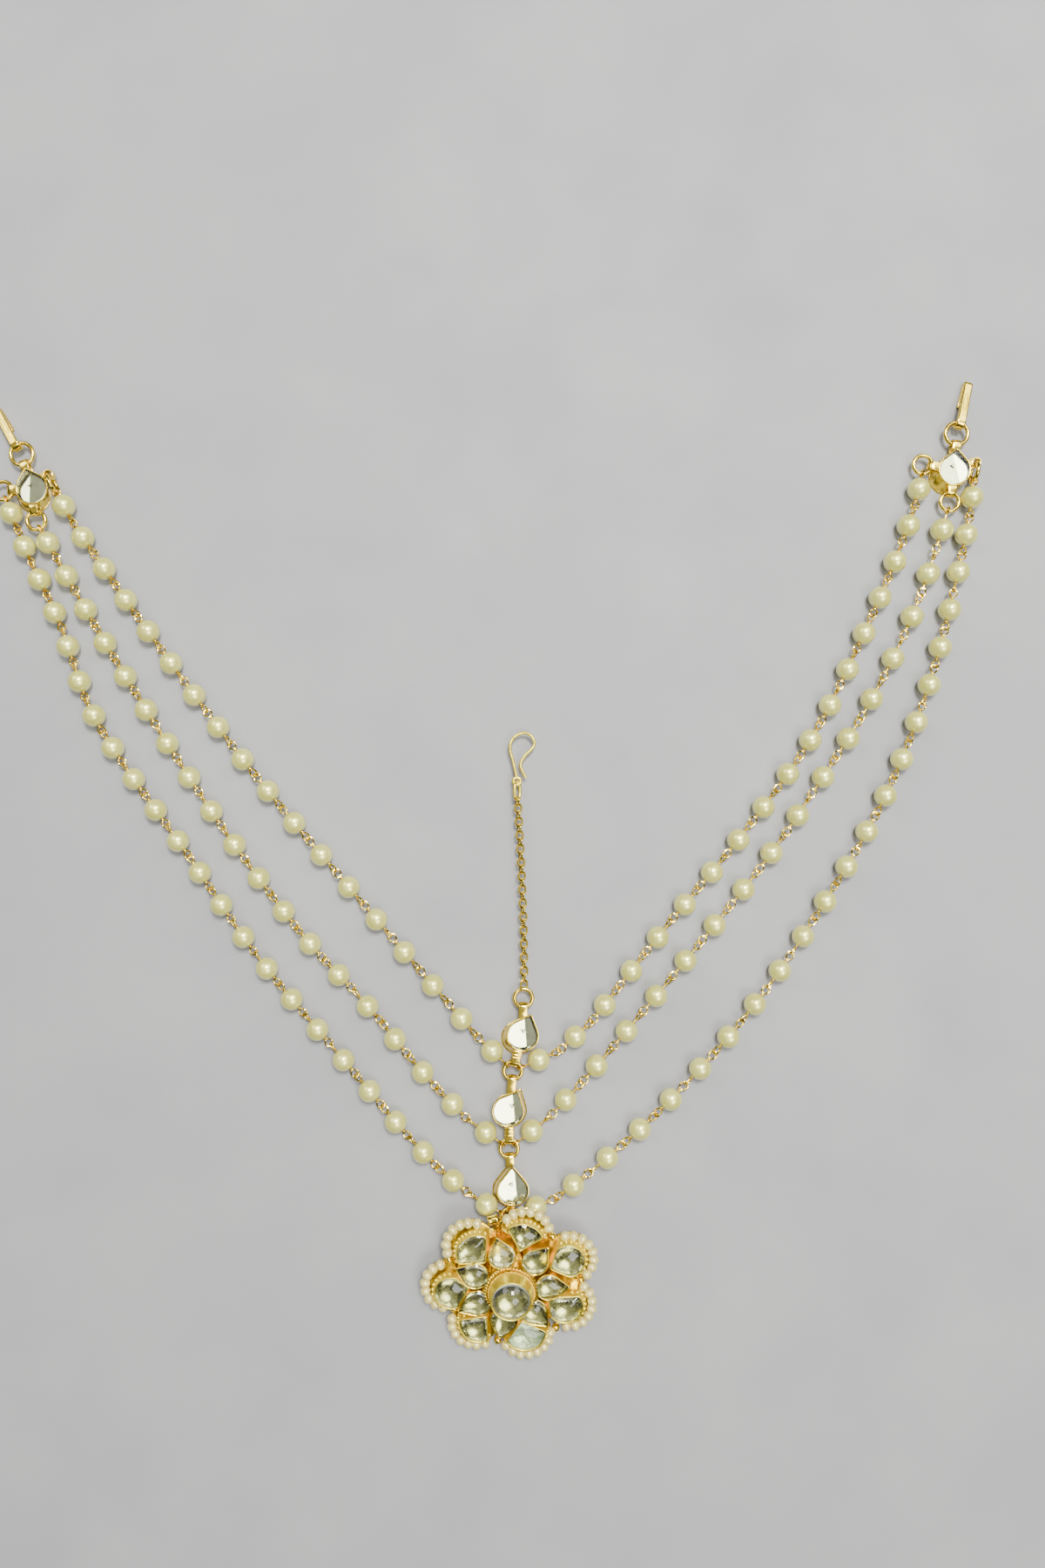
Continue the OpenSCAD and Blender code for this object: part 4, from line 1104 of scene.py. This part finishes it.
def band(bm, way, start, reach, ribs, upright):
    """A band from the wall, folded over a flat ring at its end. Upright, it holds a standing ring."""
    here = at(0, 0, LINK_Z, way)
    half_w = BAND_W / 2
    fold_turn, leaf_turn = (AS_IS, roll()) if upright else (roll(), AS_IS)
    stamp(bm, strip_loop, here, at(reach, 0), fold_turn)
    for z in (-BAND_OUTER_R, BAND_BORE_R):
        leaf = shape(rounded_block, (start + UPPER_LEAF_OUT * (z > 0), -half_w, z),
                     (reach + LEAF_OVERLAP, half_w, z + BAND_OUTER_R - BAND_BORE_R), BAND_ROUNDING)
        stamp(bm, leaf, here, leaf_turn)
    core = shape(rounded_block, (start + CORE_OUT, -half_w + CORE_NARROWER, -BAND_BORE_R),
                 (reach - CORE_SHORTER, half_w - CORE_NARROWER, BAND_BORE_R), BAND_ROUNDING)
    stamp(bm, core, here, leaf_turn)
    for k in range(ribs):
        x = start + RIBS_FROM + (reach - start - BAND_BORE_R - RIBS_SHORT) * (k + 0.5) / ribs
        rib = shape(rounded_block, (x - RIB_D / 2, -half_w - RIB_PROUD, -BAND_OUTER_R - RIB_BELOW),
                    (x + RIB_D / 2, half_w + RIB_PROUD, BAND_OUTER_R + RIB_ABOVE), RIB_ROUNDING)
        stamp(bm, rib, here)


print("band fold's faces", len(strip_loop.polygons))

# %% [markdown]
# ## A flat stone on a creased foil
# A drop's stone is flat glass. It shows one half white and the other half grey-green, because the
# foil under it has a crease: one side mirrors a soft box, and the other side a spot just off it. So
# each side's slope is worked out from the spot that the camera shall see in it.

# %% Helper: flat stones, creases and leaning boxes
CUT_EDGE_Z, CUT_DEPTH, CUT_RISE, FOIL_ROOM = DROP_H - 0.2, 0.9, 0.15, 0.45
DENT_R, DENT_TOP_R, DENT_H, DENT_UP, DENT_SINK = 0.8, 0.3, 0.3, 1.6, 0.01
CUT_EDGE_BREAK, FOIL_CLEAR, FLAT_DISH = 0.05, 0.02, 0.01


def cut_stone(bm, outline):
    """A flat stone with its edge just broken, as wide as the box."""
    edge = DROP_WALL + STONE_GAP
    foot = CUT_EDGE_Z - CUT_DEPTH
    wall(bm, outline, [(edge + CUT_EDGE_BREAK, 1, foot), (edge, 1, foot + CUT_EDGE_BREAK),
                       (edge, 1, CUT_EDGE_Z), (edge + CUT_RISE, 1, CUT_EDGE_Z + CUT_RISE)], segments=60)


def facing(middle, spot):
    """The slope of a small mirror that shows the camera one spot of a soft box."""
    here = Vector((*middle, DROP_H)) * MM
    way = (camera.location - here).normalized() + (Vector(spot) - here).normalized()
    return Vector((-way.x / way.z, -way.y / way.z))


def fold_by(bm, spot, across, change):
    """Creases a foil along a line and tilts what lies beyond it."""
    bmesh.ops.bisect_plane(bm, geom=bm.verts[:] + bm.edges[:] + bm.faces[:], dist=1e-5,
                           plane_co=(*spot, 0), plane_no=(*across, 0))
    for v in bm.verts:
        v.co.z += change.dot(across) * max(0, (v.co.xy - spot).dot(across))


def creased_foil(bm, outline, seed, middle, heading, mirrors):
    """Foil with a small dent in two planes. Mirrors: the spots that they show, and the crease's
    place and turn."""
    left_spot, right_spot, crease_x, crease_turn = mirrors
    foil_z = CUT_EDGE_Z - CUT_DEPTH - FOIL_ROOM
    crumpled_foil(bm, outline, foil_z, CUT_EDGE_Z - CUT_DEPTH - FOIL_CLEAR, seed,
                  inset=DROP_WALL + FOIL_CLEAR, depth=0, dish=FLAT_DISH)
    bmesh.ops.create_cone(bm, cap_ends=True, segments=3, radius1=DENT_R, radius2=DENT_TOP_R, depth=DENT_H,
                          matrix=at(DENT_UP, 0, foil_z + DENT_H / 2 - DENT_SINK))
    home = Matrix.Rotation(math.radians(-heading), 2)
    slopes = [home @ facing(middle, spot) for spot in (left_spot, right_spot)]
    across = home @ Vector((math.cos(math.radians(crease_turn)), math.sin(math.radians(crease_turn))))
    for v in bm.verts:
        v.co.z += slopes[0].dot(v.co.xy)
    fold_by(bm, home @ Vector((crease_x, 0)), across, slopes[1] - slopes[0])


def lean_by(bm, low_shift, high_shift):
    """Shears a box so that its back and its front lie a little apart, as one that lies rolled."""
    for v in bm.verts:
        share = v.co.z / DROP_H
        v.co += Vector((*((1 - share) * low_shift + share * high_shift), 0))


print("foil lies", FOIL_ROOM, "mm under the stones")

# %% [markdown]
# ## One drop
# A drop is a sheet box with a wider foot, its foil, its stone and its bands. The back lies a little
# to one side of the front, so a strip of its wall shows. Foil and stone take the same lean, or they
# would cut through the wall.

# %% Helper: dress a drop
BAND_INSIDE, WALL_BELOW_STONE = 0.6, 1.8
DROP_WAVER, DROP_SOFTENING = 0.008, math.radians(1)
# Inset and height: the foot, the outer side, the burnished rim and the way down inside.
DROP_PROFILE = (
    (-0.1, 0), (-0.2, 0.1), (-0.22, 0.25), (-0.16, 0.36), (-0.02, 0.42), (0, DROP_H - 0.3),
    (0.02, DROP_H - 0.1), (0.1, DROP_H), (0.22, DROP_H + 0.03), (0.34, DROP_H - 0.02),
    (0.42, DROP_H - 0.12), (0.4, DROP_H - 0.18), (DROP_WALL, DROP_H - 0.22),
    (DROP_WALL + 0.02, CUT_EDGE_Z - CUT_DEPTH - WALL_BELOW_STONE))


def dress_drop(name, setting, stone, shifts, straps, seed, mirrors):
    """Box, foil, stone and bands of one drop. Shifts: of its back and its front. Straps: heading,
    reach, ribs, upright."""
    middle, heading, tip = cut_stone_place(stone)
    outline = handmade(drop_outline(DROP_R, tip), seed, amount=DROP_WAVER, softening=DROP_SOFTENING)
    seat = at(*middle, 0, heading)
    shifts = [Matrix.Rotation(math.radians(-heading), 2) @ Vector(shift) for shift in shifts]
    box = bmesh.new()
    wall(box, outline, [(inset, 1, z) for inset, z in DROP_PROFILE], segments=96)
    lean_by(box, *shifts)
    for way, reach, ribs, upright in straps:
        start = outline(math.radians(way - heading)) - BAND_INSIDE
        band(box, way - heading, start, reach, ribs, upright)
    piece(f"{name}_box", box, gold, seat, stands_for=[setting], sharp=40)
    foil = bmesh.new()
    creased_foil(foil, outline, seed, middle, heading, mirrors)
    lean_by(foil, *shifts)
    piece(f"{name}_foil", foil, bright_foil, seat, sharp=4)
    glass = bmesh.new()
    cut_stone(glass, outline)
    lean_by(glass, *shifts)
    piece(f"{name}_cut_stone", glass, clear_stone, seat, stands_for=[stone], sharp=20)


print("rows of a drop's wall", len(DROP_PROFILE))

# %% [markdown]
# ## The three drops of the column
# The drops hang one below the other, and each holds the ring above and the ring below. Each lies
# rolled in its own way, so each has its own pair of shifts. Two of them have ribs below.

# %% Dress the column
COLUMN_SEED = 60
COLUMN_MIRRORS = ((0.22, -0.2, 0.95), (-0.07, -0.2, 0.95), 1.25, 5)
# Name, ring below, ring above, shifts of back and front, ribs of the band below.
COLUMN = (
    ("lower", "lower_junction_ring", "middle_junction_ring", ((-0.8, -1.6), (0.23, -0.35)), 0),
    ("middle", "middle_junction_ring", "upper_junction_ring", ((0.15, -0.9), (-0.35, -0.1)), 3),
    ("upper", "upper_junction_ring", "chain_ring", ((-1.1, -1.5), (0.15, -0.05)), 3),
)
for n, (name, below, above, shifts, ribs) in enumerate(COLUMN):
    stone = f"{name}_drop_stone"
    middle = cut_stone_place(stone)[0]
    straps = [(*towards(middle, below), ribs, False), (*towards(middle, above), 0, False)]
    dress_drop(f"{name}_drop", f"{name}_drop_setting", stone, shifts, straps, COLUMN_SEED + n,
               COLUMN_MIRRORS)
print("drops", len(COLUMN))

# %% [markdown]
# ## The two side settings
# A side setting is the same drop with more bands: one for the hook's ring, one for each strand's
# ring. One strand's ring stands, so its band is turned upright.

# %% Dress the side settings
SIDE_SEED = 70
SIDE_MIRRORS = {"left": ((-0.56, 0.66, 0.95), (-0.34, 0.66, 0.95), -0.5, 0),
                "right": ((0.5, 0.64, 0.95), (0.15, 0.64, 0.95), 1.4, 11)}
# Heading and reach.
UPRIGHT_STRAPS = {"left": (43, 5.42), "right": (20, 6.11)}
SIDE_SHIFTS = ((-0.9, -1.0), (0.1, 0.1))
FLAT_STRAND_RINGS = {"left": ("outer", "middle"), "right": ("middle", "inner")}
for n, side in enumerate(SIDES):
    stone = f"side_stone_{side}"
    middle = cut_stone_place(stone)[0]
    straps = [(*towards(middle, f"hook_ring_{side}"), 0, False), (*UPRIGHT_STRAPS[side], 0, True)]
    straps += [(*towards(middle, f"strand_ring_{side}_{strand}"), 0, False)
               for strand in FLAT_STRAND_RINGS[side]]
    dress_drop(f"side_{side}", f"side_setting_{side}", stone, SIDE_SHIFTS, straps, SIDE_SEED + n,
               SIDE_MIRRORS[side])
print("side settings", len(SIDES))

# %% [markdown]
# ## Side hooks
# A side hook is one flat strip. It curls round its ring, runs out, turns down at its end and comes
# back underneath. It rests on that turn, so its top leg slopes down a little. The strip is a rounded
# rectangle, extruded point by point along that line, and it carries a long pressed groove.

# %% Bend the strips
HOOK_HEADING = {"left": 121, "right": 75.5}
HOOK_W, HOOK_T, HOOK_LONG, CURL_R, TURN_R, RETURN_LEG = 2.1, 1.0, 11.0, 1.2, 0.6, 5.5
CURL_ARC, TURN_ARC, LEG_STEPS = range(-50, -265, -12), range(0, 181, 15), 8
GROOVE_WIRE_D, GROOVE_SIZE = 0.3, (2.2, 0.5, 0.4)


def bent_strip(bm, line, width, thick, corners=20, squareness=0.3):
    """A flat strip with rounded edges along a line in the X-Z plane."""
    def square(value):
        return math.copysign(abs(value) ** squareness / 2, value)

    ring = bmesh.ops.create_circle(bm, cap_ends=True, segments=corners, radius=1)["verts"]
    flat = [Vector((thick * square(v.co.x), width * square(v.co.y), 0)) for v in ring]
    for k, point in enumerate(line):
        way = (line[min(k + 1, len(line) - 1)] - line[max(k - 1, 0)]).normalized()
        turn = Matrix(((-way.y, 0, way.x), (0, 1, 0), (way.x, 0, way.y)))
        if k:
            before = dict(zip(ring, flat))
            ring = next_ring(bm, ring)
            flat = [next(before[e.other_vert(v)] for e in v.link_edges if e.other_vert(v) in before)
                    for v in ring]
        for v, co in zip(ring, flat):
            v.co = Vector((point.x, 0, point.y)) + turn @ co
    bmesh.ops.edgeloop_fill(bm, edges=edges_round(ring))


def round_point(x, z, radius, angle):
    return Vector((x + radius * math.cos(math.radians(angle)), z + radius * math.sin(math.radians(angle))))


groove = shape(bent_ring, 1.0, GROOVE_WIRE_D, steps=28, sides=6)
turn_x, turn_z = HOOK_LONG - TURN_R - HOOK_T / 2, TURN_R + HOOK_T / 2
leg_start, leg_end = Vector((0.02, LINK_Z + CURL_R)), Vector((turn_x, turn_z + TURN_R))
hook_line = [round_point(0, LINK_Z, CURL_R, a) for a in CURL_ARC]
hook_line += [leg_start.lerp(leg_end, k / LEG_STEPS) for k in range(LEG_STEPS)]
hook_line += [round_point(turn_x, turn_z, TURN_R, 90 - a) for a in TURN_ARC]
hook_line.append(Vector((turn_x - RETURN_LEG, HOOK_T / 2)))
slope = math.atan2(turn_z + TURN_R - LINK_Z - CURL_R, turn_x)
for side in SIDES:
    centre, radius = ring_place(f"hook_ring_{side}")
    strip = bmesh.new()
    bent_strip(strip, hook_line, HOOK_W, HOOK_T)
    stamp(strip, groove, at(0.5 * turn_x, 0, (LINK_Z + CURL_R + turn_z + TURN_R) / 2 + HOOK_T / 2),
          Matrix.Rotation(-slope, 4, "Y"), stretch(*GROOVE_SIZE))
    piece(f"hook_strip_{side}", strip, gold, at(*centre, 0, HOOK_HEADING[side]) @ at(radius, 0),
          stands_for=[f"side_hook_{side}"], sharp=35)
print("hooks", len(SIDES), "slope in degrees", round(math.degrees(slope), 1))
